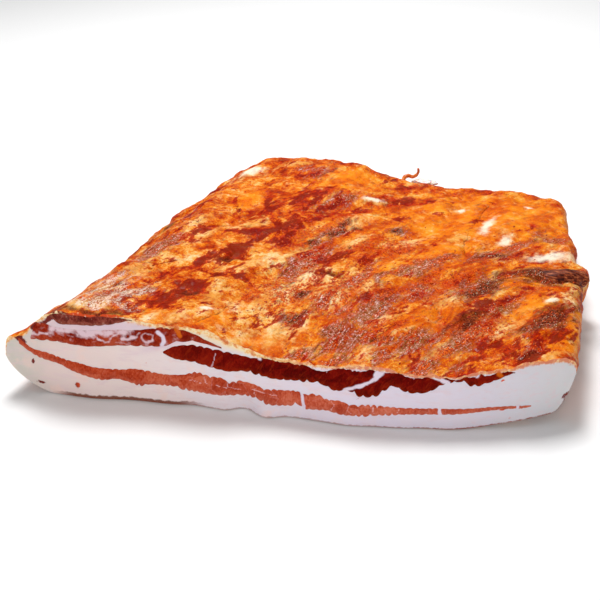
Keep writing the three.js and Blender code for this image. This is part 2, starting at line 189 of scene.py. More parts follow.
# Ridges and hollows: x, y, half length, half width, height, turn.
RIDGES = [
    (-114, -82, 22, 9, 2.2, 60), (-120, -44, 20, 9, 2.0, 84), (-92, -52, 17, 8, -1.8, 30),
    (-70, -38, 24, 7, 1.6, 30), (-62, -16, 30, 5, -2.0, 26), (-96, 2, 26, 10, 1.8, 78),
    (-72, 22, 9, 5, -2.2, 90), (-44, 10, 26, 9, 1.6, 50), (-40, -72, 15, 10, 1.5, 20),
    (-10, -68, 14, 6, -2.8, 68), (26, -66, 30, 10, 2.4, 75), (14, -16, 24, 7, 1.8, 68),
    (30, 14, 30, 6, -1.8, 68), (44, -4, 26, 8, 1.9, 60), (66, -60, 13, 4, -2.6, 92),
    (80, -58, 30, 9, 2.0, 61), (70, 24, 9, 4, -3.0, 100), (92, 60, 24, 11, 1.8, 40),
    (116, 2, 34, 5, 2.2, 7), (104, -24, 26, 6, -1.7, 58), (-70, 112, 22, 12, 1.8, -11),
    (-30, 66, 20, 8, 1.7, 45), (-14, 104, 26, 10, -1.6, 30), (36, 92, 28, 12, 1.6, 10),
]


def mix(start, end, share):
    return start + (end - start) * share


def smooth_step(start, end, place):
    share = np.clip((place - start) / (end - start), 0, 1)
    return share * share * (3 - 2 * share)


def smooth_curve(stations, place):
    """A smooth curve through (place, value) stations, level beyond both ends."""
    at, value = np.array(stations, float).T
    last = len(at) - 1
    after = np.minimum(np.arange(last + 1) + 1, last)
    before = np.maximum(np.arange(last + 1) - 1, 0)
    slope = (value[after] - value[before]) / (at[after] - at[before])
    place = np.clip(place, at[0], at[-1])
    k = np.clip(np.searchsorted(at, place) - 1, 0, last - 1)
    run = at[k + 1] - at[k]
    q = (place - at[k]) / run
    bends = slope[k] * q * (1 - q) ** 2 + slope[k + 1] * q * q * (q - 1)
    return mix(value[k], value[k + 1], q * q * (3 - 2 * q)) + run * bends


def round_over(share, fullness):
    """0 at the rim and 1 from one radius inwards."""
    return (1 - (1 - np.clip(share, 0, 1)) ** fullness) ** (1 / fullness)


def turned(dx, dy, turn):
    """A step along x and y as a step along and across a direction, turned from x to y."""
    angle = np.radians(turn)
    return dx * np.cos(angle) + dy * np.sin(angle), dy * np.cos(angle) - dx * np.sin(angle)


def knife_line(x):
    """The blade's path over the board."""
    return smooth_curve(KNIFE_LINE, x)


def blade_y(x, z):
    """The cut face: the blade leans a little, and the soft fat is folded at the foot."""
    fold = sum(size * np.exp(-(((x - place) / width) ** 2)) for place, width, size in FOOT_FOLDS)
    return knife_line(x) + KNIFE_LEAN * z - fold * (1 - smooth_step(2, 15, z))


def slab_length(x):
    return smooth_curve(BACK_EDGE, x) - knife_line(x) + TRIM_ALLOWANCE


def row_y(x, along):
    return smooth_curve(BACK_EDGE, x) - (1 - along) * slab_length(x)


def row_left(along):
    return smooth_curve(LEFT_RIM, row_y(LEFT_SIDE, along))


def row_right(along):
    return smooth_curve(RIGHT_RIM, row_y(RIGHT_SIDE, along))


def place_at(across, along):
    """x and y, and the distances from the left, right and back rims and from the cut."""
    left, right = row_left(along), row_right(along)
    x = mix(left, right, across)
    y = row_y(x, along)
    return x, y, x - left, right - x, (1 - along) * slab_length(x), y - knife_line(x)


def low_relief(x, y):
    height = 0
    for crest_across, crest_along, rise, turn in WAVES:
        down, over = turned(x, y, turn)
        swell = 1.4 * np.sin(2 * np.pi * down / crest_along)
        height = height + rise * np.sin(swell - 2 * np.pi * over / crest_across)
    for middle_x, middle_y, half_length, half_width, rise, turn in RIDGES:
        down, over = turned(x - middle_x, y - middle_y, turn)
        height = height + rise * np.exp(-((down / half_length) ** 2) - (over / half_width) ** 2)
    return height


def rim_height(across, from_back):
    side = mix(LEFT_RIM_HEIGHT, RIGHT_RIM_HEIGHT, across)
    return mix(BACK_RIM_HEIGHT, side, smooth_step(0, 60, from_back))


def top_height(across, along, relief_share=1.0):
    x, y, from_left, from_right, from_back, from_cut = place_at(across, along)
    front = mix(smooth_curve(TOP_AT_CUT, x), smooth_curve(TOP_INSIDE, x), smooth_step(0, 62, from_cut))
    smooth = mix(front, smooth_curve(TOP_AT_BACK, x), smooth_step(95, 225, from_cut))
    relief = relief_share * low_relief(x, y) * smooth_step(0, 16, from_cut)
    rounding = (
        round_over(from_left / LEFT_NOSE_RADIUS, NOSE_FULLNESS)
        * round_over(from_right / RIGHT_SHOULDER_RADIUS, SHOULDER_FULLNESS)
        * round_over(from_back / BACK_SHOULDER_RADIUS, SHOULDER_FULLNESS)
    )
    height = mix(rim_height(across, from_back), smooth + relief, rounding)
    at_corner = (1 - smooth_step(3, 28, from_cut)) * (1 - smooth_step(30, 40, from_left))
    return mix(height, smooth_curve(LEFT_CORNER, from_left), at_corner)


def under_height(across, along):
    x, _, from_left, from_right, from_back, from_cut = place_at(across, along)
    floor = UNDERSIDE_LIFT * smooth_step(84, 136, x) * (1 - smooth_step(20, 90, from_cut))
    near_cut = 1 - smooth_step(10, 70, from_cut)
    nose_under = mix(
        round_over(from_left / UNDERSIDE_RADIUS, SHOULDER_FULLNESS),
        round_over(from_left / NOSE_UNDERCUT, NOSE_UNDER_FULLNESS),
        near_cut,
    )
    rounding = (
        nose_under
        * round_over(from_right / RIGHT_UNDERCUT, UNDERCUT_FULLNESS)
        * round_over(from_back / UNDERSIDE_RADIUS, SHOULDER_FULLNESS)
    )
    return mix(rim_height(across, from_back), floor, rounding)


def at_the_cut(across, height):
    """How far along the knife's face lies under or on top, at each share across."""
    along = np.full_like(across, TRIM_ALLOWANCE / UNCUT_LENGTH)
    for _ in range(SEARCH_ROUNDS):
        x, *_ = place_at(across, along)
        y = blade_y(x, height(across, along))
        along = 1 - (smooth_curve(BACK_EDGE, x) - y) / slab_length(x)
    return along


def lumps(points, size, seed):
    """Smooth random lumps, from about -0.8 to 0.8, with this distance between them."""
    steps = 48
    slopes = np.random.default_rng(seed).normal(size=(steps, steps, steps, 3))
    slopes /= np.linalg.norm(slopes, axis=-1, keepdims=True)
    place = points / size
    corner = np.floor(place).astype(int)
    share = place - corner
    fade = share ** 3 * (share * (share * 6 - 15) + 10)
    total = np.zeros(len(points))
    for step in np.ndindex(2, 2, 2):
        weight = np.prod(np.where(step, fade, 1 - fade), axis=-1)
        i, j, k = ((corner + step) % steps).T
        total += weight * np.einsum("ij,ij->i", slopes[i, j, k], share - step)
    return 1.5 * total


def crags(points, size, octaves, seed):
    """Lumps with half-size lumps on them, and so on."""
    return sum(lumps(points, size / 2 ** k, seed + k) / 2 ** k for k in range(octaves))


# Where the rub and what lies under it show on the top: x, y, half length, half width, turn.
STAINS = [
    (-64, -83, 8, 5, -20), (-73, -85, 4, 4, -10), (-71, -101, 13, 5, 80), (-70, -50, 9, 3, 80),
    (-89, -27, 4, 3, 70), (-59, -31, 14, 5, 85), (-83, 25, 17, 2.6, -75), (-69, 48, 16, 2.6, -75),
    (-49, 11, 12, 2.5, -50), (-37, 3, 15, 2, 85), (-40, -12, 8, 3, -5), (-60, -7, 6, 2, -15),
    (-43, -65, 9, 2.5, -30), (-38, 59, 24, 4, 60), (-30, 28, 14, 2.5, 60), (-60, 90, 7, 3, 45),
    (-9, 47, 9, 4, 60), (-5, -14, 12, 6, 40), (26, -56, 6, 3, 80), (11, 110, 8, 5, 50),
    (32, 90, 9, 5, 40), (16, 85, 9, 4, 50), (21, 57, 11, 4, 60), (68, 76, 8, 3, 60),
    (77, 105, 7, 2.5, 60), (104, 68, 6, 2.5, 50), (100, -28, 17, 3, 60), (114, -84, 6, 4, 45),
    (106, -83, 9, 3, 65), (90, -85, 11, 3.5, 60), (48, -56, 3, 1.8, 70), (52, 24, 3, 1.2, -85),
    (-81, -119, 6, 6, 0), (-75, -109, 7, 3, -85), (-89, -109, 11, 2.5, -10), (61, -99, 12, 1.2, 80),
    (134, -58, 10, 1.5, 70), (-34, -119, 5, 1.2, -50), (-65, -64, 10, 2.5, -15), (118, -68, 9, 3, 55),
    (131, -34, 12, 2.6, 60), (96, -78, 11, 3, 60), (130, -60, 9, 2.6, 60), (100, -46, 12, 3, 60),
    (86, -44, 10, 3, 55), (60, -70, 10, 3, 60),
]
STAIN_LINES = [
    [(-66, 38), (-55, 20), (-41, 3), (-35, -10)], [(-32, 75), (-36, 50), (-40, 31), (-41, 3)],
    [(-73, -9), (-58, -6), (-41, 3)], [(-91, 46), (-84, 28), (-77, 12)], [(-20, 60), (-29, 44), (-40, 31)],
]
STAIN_LINE_WIDTH = 4.5
PALE_FAT = [
    (-82, -18, 7, 3, 80), (-86, -28, 6, 3, 85), (-79, -47, 4, 3, 40), (-51, -87, 11, 4, -85),
    (-56, -117, 6, 3, 80), (-48, -109, 4, 2, 70), (-68, -123, 6, 3, 75), (-94, -126, 6, 3, 70),
    (-108, -127, 9, 5, 40), (-110, -104, 11, 7, 65), (-101, -77, 9, 4.5, 60),
    (-101, 97, 10, 7, 60), (-70, 117, 9, 4, 20), (-46, -50, 10, 5, 60), (-37, -34, 10, 4, 85),
    (-26, -86, 8, 4, 75), (1, -39, 8, 4, 20), (0, 73, 6, 1.8, 50), (3, -82, 5, 2.5, 65),
    (-24, -111, 7, 3, 75), (-11, -105, 6, 3, 75), (-25, -121, 10, 3, 60), (16, 119, 4, 4, 0),
    (57, 86, 4, 2.2, 55), (79, 64, 8, 4, 70), (90, 46, 8, 4, 65), (62, 38, 9, 3, 70),
    (118, 28, 15, 4.5, 22), (123, -23, 5, 2, 65), (82, -48, 7, 2, 65), (52, -79, 8, 1.6, 55),
    (134, -7, 18, 3, 80), (33, -116, 5, 1.6, 15), (-39, -93, 7, 3, -40), (1, -113, 4, 1.8, 70),
    (-94, -7, 6, 2.5, 75), (-64, 5, 9, 4, 55), (-28, -27, 10, 3, 80), (-20, -72, 15, 6, 70),
    (0, -52, 14, 4.5, 70), (-4, -98, 9, 4, 60), (11, -58, 12, 4, 68), (22, -42, 10, 4, 70),
    (-14, -46, 12, 5, 75), (38, -72, 8, 3, 60), (70, -42, 10, 4, 55), (74, -86, 12, 3.5, 58),
    (101, -60, 12, 3, 60), (40, -100, 7, 3, 60), (4, 6, 12, 4, 66), (34, 24, 12, 4, 55),
    (-4, 36, 10, 4, 60), (124, -82, 12, 2.6, 40),
]
BARE_LEAN = [
    (-114, -110, 9, 5, 66), (-97, -108, 11, 6, 70), (-103, -46, 22, 6, 82),
    (-101, -94, 4, 2.5, 80), (-87, -97, 7, 4, 80), (-61, 107, 6, 5, 70),
    (-48, 102, 10, 6, 65), (-23, 58, 17, 4.5, 55), (-12, 18, 15, 4, 60), (-19, -3, 9, 3.5, 70),
    (15, -35, 27, 3.4, 72), (-9, -62, 5, 4.5, 60), (3, -68, 7, 4.5, 65), (15, -73, 7, 3.5, 65),
    (-5, -86, 9, 4, 50), (30, -67, 23, 7.5, 70), (18, -93, 8, 4, 75), (31, -93, 11, 5.5, 62),
    (29, -30, 10, 3.5, 72), (48, -8, 24, 5, 50), (24, 38, 9, 3, 50), (82, 20, 12, 5, 40),
    (97, 33, 20, 4.5, 62), (119, 2, 22, 5.5, 14), (82, -23, 21, 8, 58), (50, -37, 14, 5.5, 55),
    (58, -86, 16, 6.5, 55), (85, -70, 23, 6.5, 55), (97, -39, 19, 5.5, 64), (20, -97, 9, 4, 60),
    (65, -102, 12, 3.5, 68), (44, -93, 6, 3, 65), (118, 57, 12, 5, -22), (126, -40, 20, 4.5, 58),
    (-18, -29, 30, 6, 78), (120, -53, 15, 4.5, 50), (116, -77, 9, 3.5, 50), (6, -114, 8, 4, 60),
    (26, -110, 9, 4, 62), (46, -106, 8, 3.5, 60), (66, -101, 11, 4, 62), (82, -97, 8, 3, 60),
]
DARK_EDGES = [
    (-64, -90, 4, 1.6, 10), (-60, -45, 4, 2, 50), (-115, -5, 9, 3.5, 75), (-124, -24, 7, 3, 80),
    (-100, -132, 18, 2.4, 8), (-11, 20, 12, 2, 65), (-1, 29, 3, 2, 50), (-6, -85, 6, 2.4, 45),
    (-9, -61, 4, 2, 55), (131, 4, 12, 5, 16), (113, 1, 17, 5, 12), (124, -42, 20, 6, 60),
    (3, -34, 5, 1.2, 5), (114, -83, 3, 2, 35), (82, -58, 14, 4, 52), (85, -23, 17, 4, 62),
    (24, 39, 7, 1.4, 42), (-102, -94, 3, 1.5, 70), (84, 20, 8, 1.6, 30), (-21, -3, 5, 1.8, 60),
    (3, 0, 3, 1.2, -40),
]
OILY_FAT = [
    (77, 77, 62, 34, 35), (24, -24, 22, 6, 78), (-42, -115, 9, 5, 40), (-23, 95, 24, 12, 50),
    (60, -69, 22, 7, 62), (59, 15, 22, 10, 60), (106, -31, 22, 5, 62), (131, -66, 24, 6, 70),
    (-81, 48, 20, 9, 80), (-13, -111, 16, 6, 30), (-68, -116, 10, 3.5, -40), (104, -8, 14, 5, 20),
    (109, -42, 22, 4, 62), (135, -46, 24, 4.5, 78),
]
# White fat on the top, with painted glare: some of these near-white patches are painted highlights on the
# oily fat.
WHITE_FAT_AND_GLARE = [
    (118, 28.5, 12, 4, 28), (77, 64, 13, 2.8, 84), (90, 44, 7, 3, 74), (-101, 100, 8, 5, 50),
    (100, 105, 2.4, 1.4, 0), (57, 86, 3, 2, 30), (-2, 75, 6, 2.2, 35), (-47, -104, 3, 1.6, 40),
    (122, -25, 3.4, 1.6, 40),
]
# Broad places where the rub is thinner, where it lies in grains and where salt has come out.
PALER_RUB = [(-42, -68, 58, 30, 66), (-84, -34, 36, 14, 78), (-6, -60, 50, 18, 70)]
FROSTED = [
    (-110, -104, 19, 7, 62), (-98, -121, 15, 4.5, 12), (-92, -106, 12, 6, 74), (-118, -84, 10, 3.5, 70),
]
GRAINY = [
    (-20, -70, 34, 20, 70), (10, -40, 44, 22, 68), (40, -84, 24, 14, 60), (24, 10, 30, 18, 60),
    (-24, 10, 28, 14, 60), (60, -20, 34, 14, 55), (90, -62, 24, 12, 58), (-100, -100, 12, 8, 70),
]
DRIED_STRIP = (119, 2, 26, 8, 14)
# Cracks in the crust as lines of points.
CRACKS = [
    [(-112, -3), (-98, -8), (-89, -10), (-79, -1), (-60, 0)],
    [(-75, -60), (-67, -62), (-58, -67), (-52, -60), (-48, -65), (-36, -67)],
    [(-109, -73), (-95, -63), (-85, -52)], [(-97, -62), (-95, -75)],
    [(-90, 45), (-84, 33), (-81, 25), (-75, 14)], [(-48, -121), (-41, -107), (-40, -89)],
    [(14, 5), (22, 8), (31, 8)], [(67, 50), (66, 36), (68, 30), (69, 22)],
    [(74, 99), (70, 84), (68, 62)], [(66, -9), (68, -17), (70, -25)],
    [(64, -51), (68, -58), (71, -65)], [(70, -98), (73, -104), (73, -110)],
    [(37, -95), (41, -87), (47, -76)], [(-69, -91), (-60, -90)], [(-8, -37), (3, -34), (9, -31)],
]
CRACK_WIDTH = 1.1


def patch_strength(x, y, places, reach=1.0):
    """How strongly the nearest patch holds each point: 1 in its middle, a half on its edge."""
    strength = np.zeros_like(x)
    for middle_x, middle_y, half_length, half_width, turn in places:
        down, over = turned(x - middle_x, y - middle_y, turn)
        away = ((down / half_length) ** 2 + (over / half_width) ** 2) / reach ** 2
        strength = np.maximum(strength, np.exp(-0.7 * away))
    return strength


def near_lines(x, y, lines, width):
    """1 on a line and 0 from one width away."""
    nearest = np.full_like(x, 1e3)
    for line in lines:
        for (start_x, start_y), (end_x, end_y) in zip(line, line[1:]):
            run_x, run_y = end_x - start_x, end_y - start_y
            share = ((x - start_x) * run_x + (y - start_y) * run_y) / (run_x ** 2 + run_y ** 2)
            share = np.clip(share, 0, 1)
            gap = np.hypot(x - start_x - share * run_x, y - start_y - share * run_y)
            nearest = np.minimum(nearest, gap)
    return np.clip(1 - nearest / width, 0, 1)


def surface_fields(x, y, z):
    """What shows at each point of the top, and how far along and across the grain it lies."""
    points = np.stack([x, y, z], axis=1)
    shift_x = 4.5 * crags(points, 17, 3, 11)
    shift_y = 4.5 * crags(points, 17, 3, 31)
    at_x, at_y = x + shift_x, y + shift_y
    strip = patch_strength(x, y, [DRIED_STRIP])
    turn = np.where(strip > 0.4, 15, mix(74, 58, smooth_step(-20, 100, x)))
    down, over = turned(x, y, turn)
    return {
        "stain": np.maximum(
            patch_strength(at_x, at_y, STAINS),
            near_lines(x + shift_x / 2, y + shift_y / 2, STAIN_LINES, STAIN_LINE_WIDTH),
        ),
        "pale": patch_strength(at_x, at_y, PALE_FAT),
        "lean": patch_strength(at_x, at_y, BARE_LEAN),
        "white": patch_strength(x + shift_x / 3, y + shift_y / 3, WHITE_FAT_AND_GLARE),
        "paler": patch_strength(x, y, PALER_RUB),
        "frosted": patch_strength(at_x, at_y, FROSTED),
        "dark": patch_strength(at_x, at_y, DARK_EDGES),
        "oily": patch_strength(at_x, at_y, OILY_FAT),
        "rub": np.maximum(
            0.75 * patch_strength(at_x, at_y, BARE_LEAN, 2.0), patch_strength(at_x, at_y, GRAINY)
        ),
        "combed": smooth_step(-50, 20, x + 0.3 * y),
        "crack": near_lines(x + shift_x / 3, y + shift_y / 3, CRACKS, CRACK_WIDTH),
        "grain": np.stack([down, over, z], axis=1),
    }


def fine_relief(x, y, z):
    """Height of the crust's crags, fibres, pits and cracks over the smooth slab."""
    fields = surface_fields(x, y, z)
    points = np.stack([x, y, z], axis=1)
    lean = smooth_step(0.3, 0.75, fields["lean"])
    smoothness = np.clip(smooth_step(0.4, 0.8, fields["oily"]) + smooth_step(0.4, 0.8, fields["pale"]), 0, 1)
    fibres = 1 - 2 * np.abs(crags(fields["grain"] * (0.16, 1.0, 0.7), 3.4, 2, 71))
    rough = crags(points, 7, 3, 51) * mix(0.95, 0.4, smoothness)
    pits = -0.8 * smooth_step(0.35, 0.75, lumps(points, 5.0, 91)) * (1 - 0.7 * smoothness)
    return (
        rough
        + pits
        + 3.0 * lumps(points, 18, 61) * (1 - smooth_step(-112, -84, x))
        + lean * (0.4 * fibres - 0.35)
        - 0.9 * fields["crack"]
        - 0.5 * smooth_step(0.5, 0.9, fields["dark"])
        + 0.35 * smooth_step(0.4, 0.8, fields["pale"])
        - 0.3 * smooth_step(0.4, 0.8, fields["stain"])
    )


TOP_COLUMNS = {"left_arc": 26, "flat": 208, "right_arc": 11}
TOP_ROWS = {"flat": 214, "arc": 13}
FLOOR_STEP = 6             # one floor vertex is kept for this many columns and rows
FACE_STEPS = 26


def arc_shares(count):
    """Shares of a radius, close together at the rim."""
    return 1 - np.cos(np.pi / 2 * np.arange(count) / count)


def column_shares():
    width = row_right(np.array([0.5]))[0] - row_left(np.array([0.5]))[0]
    left = LEFT_NOSE_RADIUS / width * arc_shares(TOP_COLUMNS["left_arc"])
    right = RIGHT_SHOULDER_RADIUS / width * arc_shares(TOP_COLUMNS["right_arc"])
    flat = np.linspace(LEFT_NOSE_RADIUS / width, 1 - RIGHT_SHOULDER_RADIUS / width, TOP_COLUMNS["flat"])
    return np.concatenate([left, flat, 1 - right[::-1]])


def row_shares():
    back = BACK_SHOULDER_RADIUS / MEAN_LENGTH
    return np.concatenate([
        np.linspace(0, 1 - back, TOP_ROWS["flat"]),
        1 - back * arc_shares(TOP_ROWS["arc"])[::-1],
    ])


def outward(points, faces):
    """The unit normal of each point of a closed skin."""
    corners = points[faces]
    normal = np.cross(corners[:, 1] - corners[:, 0], corners[:, 2] - corners[:, 0])
    sums = np.zeros_like(points)
    for corner in range(3):
        np.add.at(sums, faces[:, corner], normal)
    return sums / np.maximum(np.linalg.norm(sums, axis=1, keepdims=True), 1e-12)


def grid_faces(index):
    """Triangles of a grid of vertex numbers, facing up where the first axis is x and the second y."""
    a, b, c, d = index[:-1, :-1], index[1:, :-1], index[1:, 1:], index[:-1, 1:]
    return np.concatenate([np.stack([a, b, c], -1).reshape(-1, 3), np.stack([a, c, d], -1).reshape(-1, 3)])


def real_faces(faces):
    """The triangles with three different corners."""
    a, b, c = faces.T
    return faces[(a != b) & (b != c) & (c != a)]


def new_piece(name, points, faces):
    """A mesh object from points in millimetres in the slab's own frame."""
    used = np.unique(faces)
    renumber = np.zeros(len(points), int)
    renumber[used] = np.arange(len(used))
    mesh = bpy.data.meshes.new(name)
    mesh.from_pydata(((points[used] + FRAME_SHIFT) * METRE).tolist(), [], renumber[faces].tolist())
    mesh.update()
    piece = bpy.data.objects.new(name, mesh)
    bpy.context.scene.collection.objects.link(piece)
    return piece


def slab_skin():
    shares, rows = column_shares(), row_shares()
    columns, ranks = len(shares), len(rows)
    sheets = []
    for height in (top_height, under_height):
        cut = at_the_cut(shares, height)[:, None]
        along = cut + (1 - cut) * rows[None, :]
        across = np.repeat(shares[:, None], ranks, axis=1)
        x, y, *_ = place_at(across, along)
        sheets.append(np.stack([x, y, height(across, along)], axis=-1))
    top, under = sheets
    top_index = np.arange(columns * ranks).reshape(columns, ranks)
    under_index = top_index + columns * ranks
    for rim in (np.s_[0, :], np.s_[-1, :], np.s_[:, -1]):
        under_index[rim] = top_index[rim]
    left = int(np.searchsorted(under[:, ranks // 2, 0], under[0, ranks // 2, 0] + UNDERSIDE_RADIUS))
    right = columns - 1 - TOP_COLUMNS["right_arc"]
    back = int(np.searchsorted(rows, 1 - UNDERSIDE_RADIUS / MEAN_LENGTH))
    floor = under_index.copy()
    kept_columns = left + FLOOR_STEP * np.round((np.arange(columns) - left) / FLOOR_STEP).astype(int)
    kept_rows = 1 + FLOOR_STEP * np.round((np.arange(ranks) - 1) / FLOOR_STEP).astype(int)
    kept_columns = np.clip(kept_columns, left, right)
    kept_rows = np.clip(kept_rows, 1, back)
    floor[left:right, 1:back] = under_index[np.ix_(kept_columns[left:right], kept_rows[1:back])]
    face_shares = np.linspace(0, 1, FACE_STEPS + 1)[1:-1]
    front_top, front_under = top[:, 0], under[:, 0]
    face = mix(front_under[:, None], front_top[:, None], face_shares[None, :, None])
    face[..., 1] = blade_y(face[..., 0], face[..., 2])
    face_index = 2 * columns * ranks + np.arange(columns * len(face_shares)).reshape(columns, -1)
    face_index = np.concatenate([under_index[:, :1], face_index, top_index[:, :1]], axis=1)
    face_index[0], face_index[-1] = top_index[0, 0], top_index[-1, 0]
    points = np.concatenate([top.reshape(-1, 3), under.reshape(-1, 3), face.reshape(-1, 3)])
    faces = np.concatenate([grid_faces(top_index), grid_faces(floor)[:, ::-1], grid_faces(face_index)])
    faces = real_faces(faces)
    x, y, z = points.T
    behind_face = y - blade_y(x, z)
    fading = smooth_step(0, 7, behind_face) * smooth_step(0.2, 3, z)
    relief = np.zeros(len(points))
    moving = np.flatnonzero(fading > 0)
    relief[moving] = fine_relief(x[moving], y[moving], z[moving]) * fading[moving]
    # the crust's front edge is nibbled where the blade went in
    nibbles = 1.5 * crags(points * (1, 0, 0) + (0, 3, 3), 4.5, 4, 5) * np.exp(-behind_face / 2.5)
    shift = outward(points, faces) * relief[:, None]
    on_top = np.zeros(len(points))
    on_top[: columns * ranks] = 1
    shift[:, 2] += on_top * nibbles * smooth_step(24, 32, z)
    return points + shift, faces


slab = new_piece("rubbed_slab", *slab_skin())


def wired_node(tree, kind, inputs=None, **settings):
    """A new node with its settings, whose inputs are linked or get a constant value."""
    made = tree.nodes.new(kind)
    for key, value in settings.items():
        setattr(made, key, value)
    for socket, value in (inputs or {}).items():
        if isinstance(value, bpy.types.NodeSocket):
            tree.links.new(value, made.inputs[socket])
        else:
            made.inputs[socket].default_value = value
    return made


class Finish:
    """A procedural material and short ways to wire its nodes."""

    def __init__(self, name):
        self.material = bpy.data.materials.new(name)
        self.material.use_nodes = True
        self.tree = self.material.node_tree
        self.surface = self.tree.nodes["Principled BSDF"]
        self.place = self.node("TexCoord").outputs["Object"]

    def node(self, kind, inputs=None, **settings):
        return wired_node(self.tree, "ShaderNode" + kind, inputs, **settings)

    def attribute(self, name, output="Fac"):
        return self.node("Attribute", attribute_name=name).outputs[output]

    def scaled(self, vector, scale):
        return self.node("VectorMath", {0: vector, 1: scale}, operation="MULTIPLY").outputs[0]

    def shifted(self, vector, size, amount):
        """The vector, moved by soft noise so that patterns lose their straight edges."""
        noise = self.node("TexNoise", {"Vector": vector, "Scale": 1000 / size, "Detail": 3.0})
        centred = self.node(
            "VectorMath", {0: noise.outputs["Color"], 1: (0.5, 0.5, 0.5)}, operation="SUBTRACT"
        ).outputs[0]
        moved = self.scaled(centred, (amount * METRE,) * 3)
        return self.node("VectorMath", {0: vector, 1: moved}, operation="ADD").outputs[0]

    def noise(self, vector, size, detail=6.0, roughness=0.6):
        """Noise from 0 to 1, a half on average, whose lumps are this many millimetres apart."""
        return self.node("TexNoise", {
            "Vector": vector, "Scale": 1000 / size, "Detail": detail, "Roughness": roughness,
        }).outputs["Fac"]

    def weighed(self, parts):
        """A sum of fields, each times its weight."""
        total = 0.0
        for field, weight in parts:
            total = self.node("Math", {0: field, 1: weight, 2: total}, operation="MULTIPLY_ADD").outputs[0]
        return total

    def product(self, first, second):
        return self.node("Math", {0: first, 1: second}, operation="MULTIPLY").outputs[0]

    def step(self, value, start, end, low=0.0, high=1.0):
        """A smooth step of a value between two places."""
        return self.node("MapRange", {
            "Value": value, "From Min": start, "From Max": end, "To Min": low, "To Max": high,
        }, interpolation_type="SMOOTHSTEP").outputs["Result"]

    def torn(self, strength, noise, reach, softness):
        """1 inside a patch and 0 outside: the noise tears its edge and leaves islands and holes."""
        edge = self.weighed([(strength, 1.0), (noise, reach)])
        middle = 0.5 + reach / 2
        return self.step(edge, middle - softness, middle + softness)

    def ramp(self, value, stops):
        made = self.node("ValToRGB", {"Fac": value})
        band = made.color_ramp
        while len(band.elements) < len(stops):
            band.elements.new(0.5)
        for element, (place, colour) in zip(band.elements, stops):
            element.position = place
            element.color = colour
        return made.outputs["Color"]

    def blend(self, share, under, over):
        return self.node("Mix", {0: share, 6: under, 7: over}, data_type="RGBA").outputs[2]

    def between(self, share, first, second):
        return self.node("Mix", {0: share, 2: first, 3: second}, data_type="FLOAT").outputs[0]

    def bumps(self, layers):
        """Bump nodes in a row: each layer is (height, depth in millimetres)."""
        normal = None
        for height, depth in layers:
            inputs = {"Height": height, "Distance": depth * METRE, "Strength": 1.0}
            if normal is not None:
                inputs["Normal"] = normal
            normal = self.node("Bump", inputs).outputs["Normal"]
        return normal

    def finish(self, colour, roughness, normal, **constants):
        links = {"Base Color": colour, "Roughness": roughness, "Normal": normal}
        for socket, value in links.items():
            if isinstance(value, bpy.types.NodeSocket):
                self.tree.links.new(value, self.surface.inputs[socket])
            else:
                self.surface.inputs[socket].default_value = value
        for socket, value in constants.items():
            self.surface.inputs[socket.replace("_", " ")].default_value = value
        return self.material


